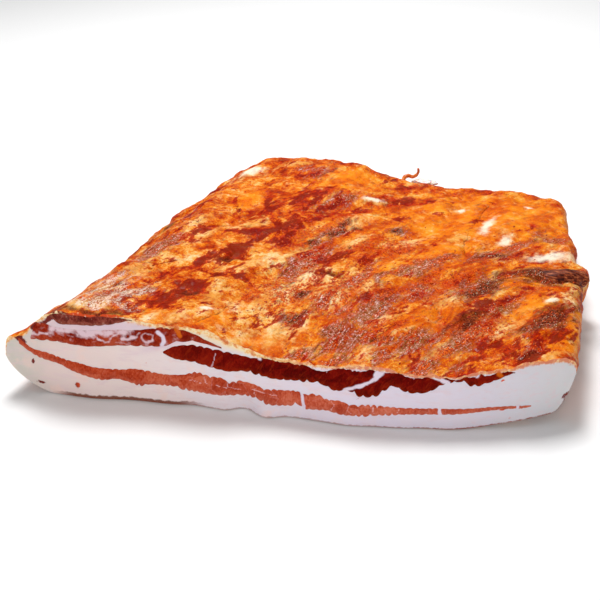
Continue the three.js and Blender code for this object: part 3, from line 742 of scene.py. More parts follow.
def rubbed_crust():
    """Oily paprika rub: mottled orange, deep red stains, pale fat, dried fibrous lean, dark edges."""
    crust = Finish("rubbed_crust")
    warped = crust.shifted(crust.place, 10, 7)
    grain = crust.attribute("grain", "Vector")
    clouds = crust.noise(warped, 17, 8, 0.62)
    strokes = crust.noise(crust.scaled(grain, (0.20, 1.0, 0.6)), 7.5, 8, 0.68)
    tears = crust.noise(crust.scaled(grain, (0.38, 1.0, 0.6)), 4.5, 8, 0.70)
    fibres = crust.noise(crust.scaled(grain, (0.20, 1.0, 0.5)), 1.3, 4, 0.65)
    blots = crust.noise(warped, 6, 8, 0.68)
    feather = crust.noise(crust.shifted(crust.scaled(grain, (0.55, 1.0, 1.0)), 4, 3), 6, 10, 0.74)
    grains = crust.noise(crust.place, 1.7, 4, 0.62)
    dust = crust.noise(crust.place, 0.75, 2, 0.6)
    drift = crust.between(crust.attribute("combed"), blots, strokes)
    tone = crust.weighed([
        (clouds, 0.34), (drift, 0.36), (grains, 0.16), (dust, 0.14), (crust.attribute("paler"), -0.034),
    ])
    mottled = crust.ramp(tone, [
        (0.385, paint(246, 208, 140)), (0.43, paint(238, 168, 76)), (0.465, paint(230, 130, 22)),
        (0.50, paint(216, 94, 4)), (0.54, paint(182, 50, 2)), (0.59, paint(124, 18, 1)),
    ])
    smooth_tone = crust.weighed([(clouds, 0.50), (drift, 0.38), (dust, 0.12)])
    oiled = crust.ramp(smooth_tone, [
        (0.36, paint(250, 190, 84)), (0.44, paint(242, 145, 22)), (0.52, paint(232, 116, 8)),
        (0.60, paint(208, 76, 5)), (0.67, paint(150, 34, 2)),
    ])
    oily = crust.torn(crust.attribute("oily"), blots, 2.0, 0.40)
    colour = crust.blend(oily, mottled, oiled)
    # thin red-brown threads where the rub has gathered in the wrinkles
    wrinkle = crust.node("Math", {0: feather, 1: 0.5}, operation="SUBTRACT").outputs[0]
    wrinkle = crust.node("Math", {0: wrinkle}, operation="ABSOLUTE").outputs[0]
    thread = crust.product(crust.step(wrinkle, 0.0, 0.016, 1.0, 0.0), crust.step(clouds, 0.46, 0.56))
    colour = crust.blend(crust.product(thread, 0.8), colour, paint(156, 36, 3))
    # pale fat that shows through
    patchy = crust.noise(warped, 5, 8, 0.66)
    bare = crust.torn(crust.attribute("pale"), patchy, 3.0, 0.50)
    pale = crust.ramp(crust.weighed([(grains, 0.4), (clouds, 0.6)]), [
        (0.38, paint(250, 230, 188)), (0.47, paint(244, 200, 128)), (0.56, paint(236, 160, 66)),
    ])
    colour = crust.blend(crust.product(bare, 0.88), colour, pale)
    # dried lean with its fibres; the ramp's near-white top stop paints glints as specks on it
    stripped = crust.torn(crust.attribute("lean"), tears, 2.4, 0.34)
    lean = crust.ramp(crust.weighed([(fibres, 0.38), (dust, 0.30), (grains, 0.32)]), [
        (0.415, paint(58, 14, 6)), (0.455, paint(112, 42, 24)), (0.495, paint(150, 78, 54)),
        (0.535, paint(184, 118, 100)), (0.58, paint(234, 206, 202)),
    ])
    rightward = crust.node("SeparateXYZ", {0: crust.place}).outputs["X"]
    lean = crust.blend(crust.step(rightward, 0.03, 0.11, 0.0, 0.42), lean, paint(170, 78, 24))
    colour = crust.blend(crust.product(stripped, 0.82), colour, lean)
    # grains and shreds of the rub
    shreds = crust.noise(crust.scaled(grain, (0.6, 1.0, 0.8)), 2.6, 6, 0.72)
    gathered = crust.step(crust.weighed([(crust.attribute("rub"), 1.0), (strokes, 2.4)]), 1.78, 2.10)
    rub = crust.product(crust.step(shreds, 0.478, 0.508), gathered)
    rub_paint = crust.ramp(dust, [
        (0.41, paint(140, 16, 1)), (0.49, paint(208, 56, 4)), (0.58, paint(238, 112, 20)),
    ])
    colour = crust.blend(crust.product(rub, 0.88), colour, rub_paint)
    # stains of soaked paprika, rusty at their torn rims and deep red in the middle
    drawn = crust.noise(crust.shifted(crust.scaled(grain, (0.30, 1.0, 0.8)), 12, 6), 15, 6, 0.62)
    soaked = crust.weighed([
        (crust.attribute("stain"), 0.95), (feather, 4.8), (crust.step(drawn, 0.53, 0.66), 0.70),
        (oily, -0.45),
    ])
    deep = crust.ramp(crust.step(crust.weighed([(soaked, 1.0), (dust, 1.0), (blots, 2.0)]), 3.65, 5.15), [
        (0.10, paint(224, 88, 6)), (0.32, paint(204, 54, 3)), (0.58, paint(172, 30, 2)),
        (0.88, paint(130, 14, 1)),
    ])
    colour = crust.blend(crust.product(crust.step(soaked, 2.60, 2.96), 0.94), colour, deep)
    # near-white patches, partly white fat and partly painted glare standing for highlights on the oily fat
    white_fat_and_glare = crust.torn(crust.attribute("white"), patchy, 1.3, 0.40)
    colour = crust.blend(crust.product(white_fat_and_glare, 0.92), colour, paint(252, 238, 214))
    # salt and dried fat lie as a pale frost on the dried lean at the left
    streaks = crust.noise(crust.scaled(grain, (0.28, 1.0, 0.8)), 3.2, 6, 0.7)
    salt = crust.weighed([(streaks, 0.6), (dust, 0.4)])
    frost = crust.torn(crust.attribute("frosted"), salt, 4.5, 0.36)
    frost_paint = crust.ramp(salt, [
        (0.45, paint(138, 74, 48)), (0.50, paint(198, 148, 112)), (0.55, paint(250, 236, 220)),
    ])
    frost = crust.product(frost, crust.step(crust.attribute("frosted"), 0.10, 0.45, 0.0, 0.64))
    colour = crust.blend(frost, colour, frost_paint)
    # dark dried edges and cracks
    dried = crust.torn(crust.attribute("dark"), tears, 2.6, 0.45)
    dried_paint = crust.ramp(dust, [
        (0.42, paint(46, 8, 3)), (0.50, paint(90, 26, 9)), (0.60, paint(150, 64, 26)),
    ])
    colour = crust.blend(crust.product(dried, 0.88), colour, dried_paint)
    crack = crust.step(crust.attribute("crack"), 0.35, 0.9)
    colour = crust.blend(crust.product(crack, 0.7), colour, paint(104, 22, 4))
    # the skin side underneath is plain and browner
    rind = crust.ramp(clouds, [
        (0.40, paint(208, 138, 66)), (0.50, paint(178, 98, 38)), (0.62, paint(118, 54, 20)),
    ])
    colour = crust.blend(crust.attribute("under"), colour, rind)
    roughness = crust.step(blots, 0.40, 0.60, 0.30, 0.55)
    grainy = crust.between(crust.product(oily, 0.7), grains, 0.5)
    normal = crust.bumps([
        (blots, 0.8), (crust.product(fibres, stripped), 0.5), (grainy, 0.35), (dust, 0.12),
    ])
    # oil lies in spots and gives the glints
    oil = crust.product(crust.step(grains, 0.54, 0.62), crust.step(dust, 0.48, 0.58))
    oil = crust.product(oil, crust.between(stripped, 0.4, 1.0))
    crust.tree.links.new(oil, crust.surface.inputs["Coat Weight"])
    return crust.finish(
        colour, roughness, normal, IOR=1.10, Coat_Roughness=0.22, Coat_IOR=1.4, Subsurface_Weight=0.03,
        Subsurface_Radius=(1.0, 0.35, 0.12), Subsurface_Scale=0.0012,
    )


# Where the cut fat is creamier or lilac, and where specks of rub and dried blood lie on it: x, height,
# half length, half height, turn. The rub has run down over the cut in a few drips.
CREAM_FAT = [(-21, 38.4, 27, 3.4, -15), (-50, 45.6, 16, 3.0, -8)]
LILAC_FAT = [(-94, 43.8, 30, 3.2, 3), (-60, 36, 12, 1.8, 22)]
CUT_SPOTS = [
    (-98, 50.2, 24, 1.2, 0), (-119, 45.6, 5, 1.4, 40), (-126.5, 40.3, 4.6, 2.5, 14),
    (-137.2, 32.0, 4.6, 1.9, -42), (-129, 6, 2.6, 0.9, -12), (-132, 18.7, 0.8, 2.0, -12),
    (136, 13.3, 2.2, 1.3, 20), (-108, 7.3, 1.5, 1.7, 0), (-93, 22.6, 0.8, 0.6, 0),
    (-70, 23.4, 1.3, 0.5, -20), (105, 27.8, 0.8, 0.7, 0), (111, 5, 0.7, 0.8, 0),
    (-124, 4.4, 2.0, 0.5, -8), (107, 10.6, 1.6, 0.5, 0),
]
RUB_DRIPS = [
    [(-54, 46.8), (-52.4, 44), (-51.6, 41.8)], [(-31, 42.6), (-28, 40.4)],
    [(101, 33.6), (104, 30.4)], [(-9, 35.4), (-5, 33.8)],
]
RUB_DRIP_WIDTH = 2.2


def cut_fat():
    """White fat where the knife went: cream at the left, lavender in the middle, cool at the right."""
    fat = Finish("cut_fat")
    across = fat.node("SeparateXYZ", {0: fat.place}).outputs
    clouds = fat.noise(fat.place, 20, 4, 0.55)
    torn = fat.noise(fat.place, 2.6, 7, 0.7)
    place = fat.weighed([(across["X"], 3.45), (clouds, 0.10)])
    place = fat.step(place, -0.45, 0.55)
    place.node.interpolation_type = "LINEAR"
    colour = fat.ramp(place, [
        (0.02, paint(206, 198, 188)), (0.09, paint(230, 208, 202)), (0.25, paint(238, 220, 216)),
        (0.42, paint(234, 222, 228)), (0.65, paint(228, 216, 230)), (0.85, paint(220, 212, 222)),
        (0.97, paint(212, 210, 212)),
    ])
    layers = fat.noise(fat.scaled(fat.place, (0.10, 1.0, 1.0)), 2.4, 6, 0.62)
    colour = fat.blend(fat.step(layers, 0.50, 0.66, 0.0, 0.38), colour, paint(226, 198, 204))
    blush = fat.noise(fat.place, 11, 5, 0.6)
    warm = fat.product(fat.step(blush, 0.50, 0.66, 0.0, 0.40), fat.step(across["X"], 0.0, 0.08, 1.0, 0.15))
    colour = fat.blend(warm, colour, paint(244, 208, 196))
    cream = fat.torn(fat.attribute("cream"), torn, 0.8, 0.4)
    colour = fat.blend(fat.product(cream, 0.85), colour, paint(246, 224, 184))
    colour = fat.blend(fat.product(fat.attribute("lilac"), 0.85), colour, paint(222, 194, 208))
    # the rub stains the fat just under the crust and in drips
    bleed = fat.step(fat.weighed([(fat.attribute("depth"), 1.0), (torn, -5.0)]), -1.4, 0.2, 1.0, 0.0)
    bleed_paint = fat.ramp(fat.weighed([(torn, 1.0), (fat.step(across["X"], -0.02, 0.04), 0.10)]), [
        (0.42, paint(250, 228, 180)), (0.52, paint(244, 182, 96)), (0.62, paint(218, 108, 30)),
    ])
    colour = fat.blend(fat.product(bleed, 0.85), colour, bleed_paint)
    drip = fat.torn(fat.attribute("drip"), torn, 1.4, 0.25)
    colour = fat.blend(fat.product(drip, 0.85), colour, paint(214, 96, 26))
    spot = fat.torn(fat.attribute("spot"), torn, 1.2, 0.12)
    # specks are dried blood near both ends and rub between them
    of_rub = fat.product(
        fat.step(across["X"], -0.109, -0.104), fat.step(across["X"], 0.115, 0.125, 1.0, 0.0)
    )
    spot_paint = fat.blend(of_rub, paint(112, 20, 8), paint(214, 70, 14))
    colour = fat.blend(spot, colour, spot_paint)
    # the rind lines the bottom edge: thick and brown at the left, then thin as far as the right end
    edge = fat.weighed([(fat.attribute("foot"), 1.0), (torn, -3.0)])
    off_nose = fat.step(across["X"], -0.122, -0.108)
    left_share = fat.product(off_nose, fat.step(across["X"], -0.055, -0.035, 1.0, 0.0))
    thick_rind = fat.product(fat.step(edge, 0.0, 0.9, 1.0, 0.0), left_share)
    thin_rind = fat.step(edge, -1.4, -0.7, 1.0, 0.0)
    rind_share = fat.product(off_nose, fat.step(across["X"], 0.02, 0.09, 0.6, 1.0))
    colour = fat.blend(fat.product(thin_rind, rind_share), colour, paint(146, 70, 54))
    colour = fat.blend(fat.product(thick_rind, 0.92), colour, paint(122, 50, 8))
    normal = fat.bumps([(blush, 0.25), (layers, 0.14), (torn, 0.08)])
    return fat.finish(
        colour, fat.step(layers, 0.4, 0.6, 0.34, 0.5), normal, Specular_IOR_Level=0.2,
        Subsurface_Weight=0.30, Subsurface_Radius=(1.0, 0.62, 0.5), Subsurface_Scale=0.0018,
    )


CRUST, CUT = 0, 1
slab_finishes = [rubbed_crust(), cut_fat()]

# ---------------------------------------------------------------- the lean layers
# Streaky lean: four layers of muscle that run through the fat and that the knife has laid open.
# Each is one closed solid in a pocket of the fat, with the muscle bundles' scallops at its edges.

SEAT = 0.02                # clearance between a layer and its pocket
POCKET_OPENING = 3.0       # how far a pocket's cutter stands out of the cut
SKIN_INSIDE = 4.5          # fat over a layer inside the slab
LAYER_ROWS = [7, 14, 30, 62, 110, 160]     # rows of a layer behind the cut
END_LENGTH = 12            # its back end thins over this length to this share of its thickness
END_SHARE = 0.15
COLUMN_WIDTH = 0.62
PROUD = 0.12               # how far the bundles swell out of the cut

# Edges at the cut: x and height over the underside. The muscle bundles' width, how far they bulge over
# the edge and that share at the left, the skin of fat over the layer, and how far it ends from the back.
LAYERS = {
    "lower_lean": {
        "upper": [
            (-138, 32.3), (-131, 26.6), (-123, 25), (-113, 22.3), (-105, 21.2), (-98, 19.6),
            (-84, 18.6), (-77, 19.6), (-62, 18.2), (-52, 18.9), (-44, 21), (-38, 19.4), (-31, 18.9),
            (-28, 16.4), (-22, 18.1), (-13, 16.3), (-10, 14.6), (-2, 15.4), (8, 15.9), (11, 14.9),
            (18, 15.5), (22, 13.6), (29, 13.6), (35, 11.6), (42, 12.2), (58, 12.2), (77, 12.6),
            (92, 12.2), (110, 12.1), (120, 11.4),
        ],
        "lower": [
            (-138, 28.6), (-132, 24), (-126, 21.1), (-116, 18.9), (-111, 16.4), (-101, 13.4),
            (-93, 12.1), (-87, 12.9), (-75, 10), (-70, 11.1), (-56, 11.6), (-52, 10.2), (-35, 8.6),
            (-27, 9.1), (-13, 9.2), (-7, 7.4), (3, 7), (8, 8.8), (12, 6.5), (23, 7.2), (30, 6),
            (42, 6.5), (59, 8.3), (76, 9.1), (90, 9.5), (107, 10.5), (117, 10.3), (120, 10.6),
        ],
        "bundle": 3.4, "scallop": 0.85, "even": 0.7, "skin": 1.1, "behind": 9,
    },
    "upper_lean": {
        "upper": [
            (-61, 31.9), (-57, 34.5), (-53, 36.1), (-46, 37), (-38, 36.2), (-24, 33.8), (-12, 33),
            (-5, 40), (110, 40),
        ],
        "lower": [
            (-61, 30.9), (-55, 28.2), (-46, 27.6), (-36, 25.1), (-28, 23.4), (-19, 24.5),
            (-6, 21.9), (6, 22.5), (16, 23.3), (22, 21.8), (26, 19.6), (33, 20.7), (38, 18.1),
            (45, 18.1), (50, 22), (54, 25), (58, 23.3), (62, 21.8), (71, 22.5), (78, 27.4),
            (87, 28.5), (92, 25.8), (99, 27.2), (104, 29.2), (110, 32.1),
        ],
        "bundle": 4.4, "scallop": 1.25, "even": 0.4, "skin": 1.1, "behind": 12,
    },
    "left_lean": {
        "upper": [
            (-131, 33.4), (-127, 41.8), (-117, 41.4), (-106, 41.0), (-85, 42.2), (-75, 42.8),
            (-67, 44.4), (-58, 46.2), (-50, 45.4), (-43, 43.1), (-38, 40.4), (-31, 37.4),
        ],
        "lower": [
            (-131, 32.2), (-119, 32.8), (-101, 32), (-83, 33.2), (-67, 34.4), (-60, 35.4),
            (-55, 38), (-46, 39.6), (-41, 39), (-31, 36.6),
        ],
        "bundle": 6.5, "scallop": 0.45, "even": 1.0, "skin": 1.1, "behind": 22,
    },
    "dried_lean": {
        "upper": [(-118, 60), (-76, 60)],
        "lower": [(-118, 47.2), (-114, 43.6), (-106, 44), (-92, 44.7), (-85, 45.8), (-76, 48.6)],
        "bundle": 5.5, "scallop": 0.3, "even": 1.0, "skin": 0.5, "behind": 150,
    },
}
FACE_ROWS = 18


def ragged(x, bundle, scallop, seed):
    """How far a layer's edge bulges: round bundle ends of uneven width with narrow clefts between."""
    line = np.stack([x, np.full_like(x, 0.5), np.full_like(x, seed * 1.7)], axis=1)
    turns = x / bundle + 0.55 * lumps(line, bundle * 2.6, seed)
    lobes = 2 * np.abs(np.sin(np.pi * turns)) ** 0.6 - 1.2
    size = np.clip(0.6 + 1.5 * lumps(line + 40, bundle * 2.4, seed + 1), 0.3, 1.5)
    return scallop * (size * lobes + 0.12 * lumps(line, 1.3, seed + 2))


def behind_cut(x):
    """The shares across and along of a place just behind the cut."""
    along = (TRIM_ALLOWANCE + 1.5) / slab_length(x)
    return (x - row_left(along)) / (row_right(along) - row_left(along)), along


def layer_edges(layer, seed, x):
    """The heights of a layer's upper and lower edge at the cut, and of the slab's top there."""
    first, last = layer["lower"][0][0], layer["lower"][-1][0]
    inside = np.clip(x, first, last)
    surface = top_height(*behind_cut(x), 0)
    shape = (layer["bundle"], layer["scallop"])
    open_share = np.clip(np.minimum(x - first, last - x) / 4, 0, 1)
    open_share = open_share * mix(layer["even"], 1, smooth_step(-60, 25, x))
    line = np.stack([x, np.full_like(x, 0.5), np.full_like(x, seed)], axis=1)
    skin = layer["skin"] * (1 + np.abs(0.3 * ragged(x, 2.6, 1, seed + 9) + 3.2 * lumps(line, 9, seed + 8)))
    upper = np.minimum(smooth_curve(layer["upper"], inside), surface)
    lower = smooth_curve(layer["lower"], inside)
    open_share = open_share * np.clip((upper - lower) / 6, 0.5, 1)
    upper = np.minimum(upper + open_share * ragged(x, *shape, seed), surface - skin)
    lower = lower - open_share * ragged(x, *shape, seed + 3)
    return upper, np.minimum(lower, upper - 0.5), surface


def layer_rings(layer, seed, grow):
    """Rows of (upper, lower) points from the cut, or from in front of it, to the back."""
    first, last = layer["lower"][0][0] - grow, layer["lower"][-1][0] + grow
    count = max(int((last - first) / COLUMN_WIDTH), 8)
    x = np.linspace(first, last, count)
    across, along = behind_cut(x)
    upper, lower, surface = layer_edges(layer, seed, x)
    rings = []

    def ring(along, thickness_share=1, at_cut=False):
        x_here, y_here, _, _, _, from_cut = place_at(across, along)
        cover = (SKIN_INSIDE - layer["skin"]) * smooth_step(0, 12, from_cut)
        scale = np.minimum((top_height(across, along, 0) - cover) / surface, 1.02)
        middle = scale * (upper + lower) / 2
        half = thickness_share * scale * (upper - lower) / 2 + grow
        if at_cut:
            middle, half = (upper + lower) / 2, (upper - lower) / 2 + grow
        rings.append(np.stack([
            np.stack([x_here, y_here, middle + half], -1),
            np.stack([x_here, y_here, middle - half], -1),
        ]))

    for _ in range(2 if grow else 1):
        ring(along, at_cut=True)
    front = POCKET_OPENING if grow else 0.0
    for sheet in (0, 1):
        rings[0][sheet][:, 0] = x
        rings[0][sheet][:, 1] = blade_y(x, rings[0][sheet][:, 2]) - front
    if grow:
        for sheet in (0, 1):
            rings[1][sheet][:, 0] = x
            rings[1][sheet][:, 1] = blade_y(x, rings[1][sheet][:, 2])
    length = slab_length(x)
    last_row = slab_length(np.array([0.0]))[0] - layer["behind"] - 2 * END_LENGTH
    for row in LAYER_ROWS:
        if row + TRIM_ALLOWANCE < last_row:
            ring((row + TRIM_ALLOWANCE) / length)
    ring(1 - (layer["behind"] + END_LENGTH) / length)
    ring(1 - (layer["behind"] - grow) / length, END_SHARE)
    return np.array(rings)


def layer_skin(layer, seed, grow=0.0):
    """The closed skin of a layer, with a finely divided front face that swells a little."""
    rings = layer_rings(layer, seed, grow)
    rows, _, count, _ = rings.shape
    steps = 1 if grow else FACE_ROWS
    upper_index = np.arange(rows * count).reshape(rows, count)
    lower_index = upper_index + rows * count
    points = [rings[:, 0].reshape(-1, 3), rings[:, 1].reshape(-1, 3)]
    shares = np.linspace(0, 1, steps + 1)[1:-1]
    face = mix(rings[0, 1][:, None], rings[0, 0][:, None], shares[None, :, None])
    line = np.stack([face[..., 0], face[..., 2], np.zeros_like(face[..., 0])], -1).reshape(-1, 3)
    swell = (1 - (2 * shares - 1) ** 4)[None, :] * (
        1 + 0.6 * lumps(line, 2.4, seed + 20).reshape(face.shape[:2])
    )
    face[..., 1] = blade_y(face[..., 0], face[..., 2]) - PROUD * swell
    face_index = 2 * rows * count + np.arange(count * len(shares)).reshape(count, -1)
    face_index = np.concatenate([lower_index[0][:, None], face_index, upper_index[0][:, None]], axis=1)
    back_index = np.stack([lower_index[-1], upper_index[-1]], axis=1)
    side_faces = []
    for rim, turn in ((0, -1), (-1, 1)):
        side = np.stack([lower_index[:, rim], upper_index[:, rim]], axis=1)
        if steps > 1:
            # a fan joins the fine edge of the front face to the first row behind it
            corner, front_run = lower_index[1, rim], face_index[rim]
            fan = np.stack([np.full(len(front_run) - 1, corner), front_run[:-1], front_run[1:]], axis=1)
            closing = [[corner, upper_index[0, rim], upper_index[1, rim]]]
            side_faces.append(np.concatenate([fan, closing])[:, ::-turn])
            side = side[1:]
        side_faces.append(grid_faces(side)[:, ::turn])
    faces = np.concatenate([
        grid_faces(upper_index.T),
        grid_faces(lower_index.T)[:, ::-1],
        grid_faces(face_index),
        grid_faces(back_index)[:, ::-1],
        *side_faces,
    ])
    points.append(face.reshape(-1, 3))
    return np.concatenate(points), real_faces(faces)


# Fat seams at the cut of each layer: lines of (x, height).
SEAMS = {
    "lower_lean": [
        [(-48, 16.3), (-41, 15), (-35, 14.6), (-29, 13.6), (-22, 13.3)], [(-41, 18.5), (-40, 15)],
        [(-29.4, 9), (-29.4, 13.3), (-28.3, 17.5)], [(-16, 14), (-10, 12.6), (-3, 12)],
        [(-13, 16), (-15, 12.8), (-14, 9.6)],
        [(24, 13.4), (26, 10.4), (25, 7.6)], [(34, 11.6), (33, 9), (35, 6.8)], [(45, 12), (46, 8)],
        [(58, 12), (57, 9)],
    ],
    "upper_lean": [
        [(62, 33), (64, 30)], [(20, 33), (22, 29.6)], [(-33.8, 33.8), (-35, 29.6), (-36.1, 25)],
    ],
    "left_lean": [
        [(-133, 35.5), (-127.5, 35.5), (-121, 37)], [(-118, 39.6), (-113.5, 40.6), (-109, 40), (-104, 38.9)],
        [(-99.5, 41), (-95.5, 39), (-93, 37.3), (-91, 34.4), (-88.5, 35.6), (-87, 38), (-83.5, 40.5)],
        [(-82, 37), (-78, 38), (-74, 39), (-72.5, 42)],
        [(-68.7, 42), (-66, 40.6), (-66, 37.6), (-68.7, 36.4), (-71.4, 37.6), (-71.4, 40.6), (-68.7, 42)],
    ],
    "dried_lean": [],
}
# Wide clefts of fat that part a layer.
CLEFTS = {
    "lower_lean": [
        [(9.2, 16.4), (10.3, 12), (10.8, 6)], [(77, 13.4), (77.6, 8.6)], [(113.4, 13), (113.8, 9)],
    ],
    "upper_lean": [
        [(49.6, 36), (46.6, 29.8), (43.4, 26.4), (38, 23.2), (31, 20.4)],
        [(51.6, 37), (48.4, 31.6), (45.4, 27.8)], [(47.6, 37), (45.8, 30.4)],
        [(70, 34), (74, 30.6), (80, 28.2)], [(88, 35), (93, 31.4)], [(-12.5, 35), (-12, 32.6)],
    ],
    "left_lean": [[(-63, 43), (-60.4, 40.6), (-60, 38), (-61.6, 35.6)]],
    "dried_lean": [],
}
CLEFT_FAT = (228, 212, 226)
# How the meat of each layer looks. Ends: its colours at the left and at the right, each dark, main and
# light. Seam tear: reach and softness. Tearing: size, detail and roughness of the noise that does it.
MEAT = {
    "lower_lean": {
        "ends": (
            [(158, 44, 16), (186, 66, 34), (202, 94, 62)], [(172, 58, 34), (200, 86, 58), (216, 116, 88)],
        ),
        "bundle": 8.0, "streak": (216, 124, 100), "streak_share": 0.22, "rim": (198, 120, 98),
        "seam": (232, 196, 196), "seam_width": 0.4, "seam_share": 0.6, "seam_tear": (1.5, 0.26),
        "tearing": (3.2, 7, 0.66), "cleft_width": 1.5,
    },
    "upper_lean": {
        "ends": ([(122, 14, 3), (144, 27, 8), (160, 42, 18)], [(78, 1, 0), (104, 4, 1), (128, 16, 4)]),
        "bundle": 6.0, "streak": (156, 44, 12), "streak_share": 0.42, "rim": (148, 46, 12),
        "seam": (222, 200, 212), "seam_width": 0.6, "seam_share": 0.6, "seam_tear": (0.4, 0.2),
        "tearing": (3.2, 7, 0.66), "cleft_width": 2.0,
    },
    "left_lean": {
        "ends": ([(120, 18, 4), (154, 42, 18), (180, 74, 48)], [(108, 6, 1), (138, 22, 6), (164, 48, 28)]),
        "bundle": 7.0, "streak": (178, 80, 50), "streak_share": 0.2, "rim": (166, 74, 46),
        "seam": (232, 204, 212), "seam_width": 1.15, "seam_share": 0.92, "seam_tear": (2.6, 0.42),
        "tearing": (4.6, 4, 0.55), "cleft_width": 2.0,
    },
    "dried_lean": {
        "ends": ([(62, 14, 12), (112, 34, 28), (150, 74, 62)], [(84, 24, 14), (136, 52, 36), (176, 96, 74)]),
        "bundle": 4.0, "streak": (176, 96, 74), "streak_share": 0.3, "rim": (150, 90, 70),
        "seam": (196, 150, 136), "seam_width": 0.7, "seam_share": 0.6, "seam_tear": (3.0, 0.22),
        "tearing": (3.2, 7, 0.66), "cleft_width": 1.0,
    },
}
FIBRE_SLANT = 34


def lean_finish(node):
    """Cut muscle: bundles with fine fat seams between them, grainy where the fibres end."""
    meat = MEAT[node]
    lean = Finish(node + "_meat")
    cut_place = lean.scaled(lean.place, (1.0, 0.4, 1.25))
    waved = lean.shifted(cut_place, 5, 2.6)
    broad = lean.noise(cut_place, 13, 4, 0.55)
    fine = lean.noise(lean.scaled(lean.place, (1.0, 0.4, 0.55)), 0.9, 4, 0.6)
    bundles = {"Vector": waved, "Scale": 1000 / meat["bundle"]}
    bundle_tone = lean.node("TexVoronoi", bundles).outputs["Color"]
    tone = lean.weighed([(broad, 0.45), (fine, 0.37), (bundle_tone, 0.18)])
    ends = [
        lean.ramp(tone, [(place, paint(*colour)) for place, colour in zip((0.40, 0.50, 0.60), end)])
        for end in meat["ends"]
    ]
    colour = lean.blend(lean.attribute("rightward"), *ends)
    slanted = lean.node("Mapping", {
        "Vector": lean.place, "Rotation": (0.0, math.radians(FIBRE_SLANT), 0.0), "Scale": (1.0, 2.5, 4.5),
    }, vector_type="TEXTURE").outputs["Vector"]
    streaks = lean.step(lean.noise(slanted, 1.5, 5, 0.62), 0.52, 0.66, 0.0, meat["streak_share"])
    colour = lean.blend(streaks, colour, paint(*meat["streak"]))
    # fine seams between the bundles, the drawn seams of fat, drips of rub and wide clefts
    from_edge = lean.node("TexVoronoi", bundles, feature="DISTANCE_TO_EDGE").outputs["Distance"]
    line = lean.step(from_edge, 0.0, 0.05, 1.0, 0.0)
    gate = lean.step(lean.noise(cut_place, 7, 3, 0.5), 0.48, 0.56)
    line = lean.product(lean.product(line, gate), lean.attribute("seamed"))
    colour = lean.blend(line, colour, paint(*meat["seam"]))
    torn = lean.noise(waved, *meat["tearing"])
    seam = lean.torn(lean.attribute("seam"), torn, *meat["seam_tear"])
    colour = lean.blend(lean.product(seam, meat["seam_share"]), colour, paint(*meat["seam"]))
    drip = lean.torn(lean.attribute("drip"), torn, 1.4, 0.25)
    colour = lean.blend(lean.product(drip, 0.85), colour, paint(222, 104, 20))
    cleft = lean.torn(lean.attribute("cleft"), torn, 0.8, 0.22)
    colour = lean.blend(cleft, colour, paint(*CLEFT_FAT))
    rim = lean.product(lean.attribute("rim"), lean.step(torn, 0.40, 0.60, 0.35, 1.0))
    rim = lean.product(rim, lean.step(cleft, 0.0, 0.5, 0.7, 0.0))
    colour = lean.blend(rim, colour, paint(*meat["rim"]))
    normal = lean.bumps([(from_edge, 0.10), (fine, 0.10), (broad, 0.3)])
    return lean.finish(
        colour, lean.step(fine, 0.4, 0.6, 0.34, 0.48), normal, IOR=1.08,
        Subsurface_Weight=0.03, Subsurface_Radius=(1.0, 0.3, 0.2), Subsurface_Scale=0.001,
    )


def make_plain(piece):
    """Turns what the piece's modifiers make into its own mesh."""
    bpy.context.view_layer.update()
    graph = bpy.context.evaluated_depsgraph_get()
    plain = bpy.data.meshes.new_from_object(piece.evaluated_get(graph))
    piece.modifiers.clear()
    piece.data = plain
    plain.name = piece.name


LAYER_SEEDS = {"lower_lean": 100, "upper_lean": 140, "left_lean": 180, "dried_lean": 220}

layer_pieces = {}
pockets = []
for node, layer in LAYERS.items():
    layer_pieces[node] = new_piece(node + "_layer", *layer_skin(layer, LAYER_SEEDS[node]))
    pockets.append(new_piece(node + "_pocket", *layer_skin(layer, LAYER_SEEDS[node], SEAT)))

for pocket in pockets:
    cutter = slab.modifiers.new(pocket.name, "BOOLEAN")
    cutter.operation = "DIFFERENCE"
    cutter.solver = "MANIFOLD"
    cutter.object = pocket
make_plain(slab)
for pocket in pockets:
    bpy.data.objects.remove(pocket)

RUB_DEPTH = 1.2            # how much deeper the rub has soaked in beside the marbled layer
RUB_DEPTH_PLACE = -30
RUB_DEPTH_WIDTH = 22
ON_THE_BLADE = 0.12        # faces this near the blade's path are the cut
RIM_WIDTH = 1.5            # how far the lean pales towards its lower edge
FINE_SEAM_SHARE = 0.10


def points_of(mesh):
    """The mesh's points in millimetres in the slab's own frame."""
    points = np.zeros(len(mesh.vertices) * 3)
    mesh.vertices.foreach_get("co", points)
    return points.reshape(-1, 3) / METRE - FRAME_SHIFT


def store_fields(mesh, fields):
    """Point attributes that a finish reads."""
    for name, values in fields.items():
        kind, part = ("FLOAT_VECTOR", "vector") if values.ndim == 2 else ("FLOAT", "value")
        field = mesh.attributes.new(name, kind, "POINT")
        field.data.foreach_set(part, values.astype(np.float32).ravel())


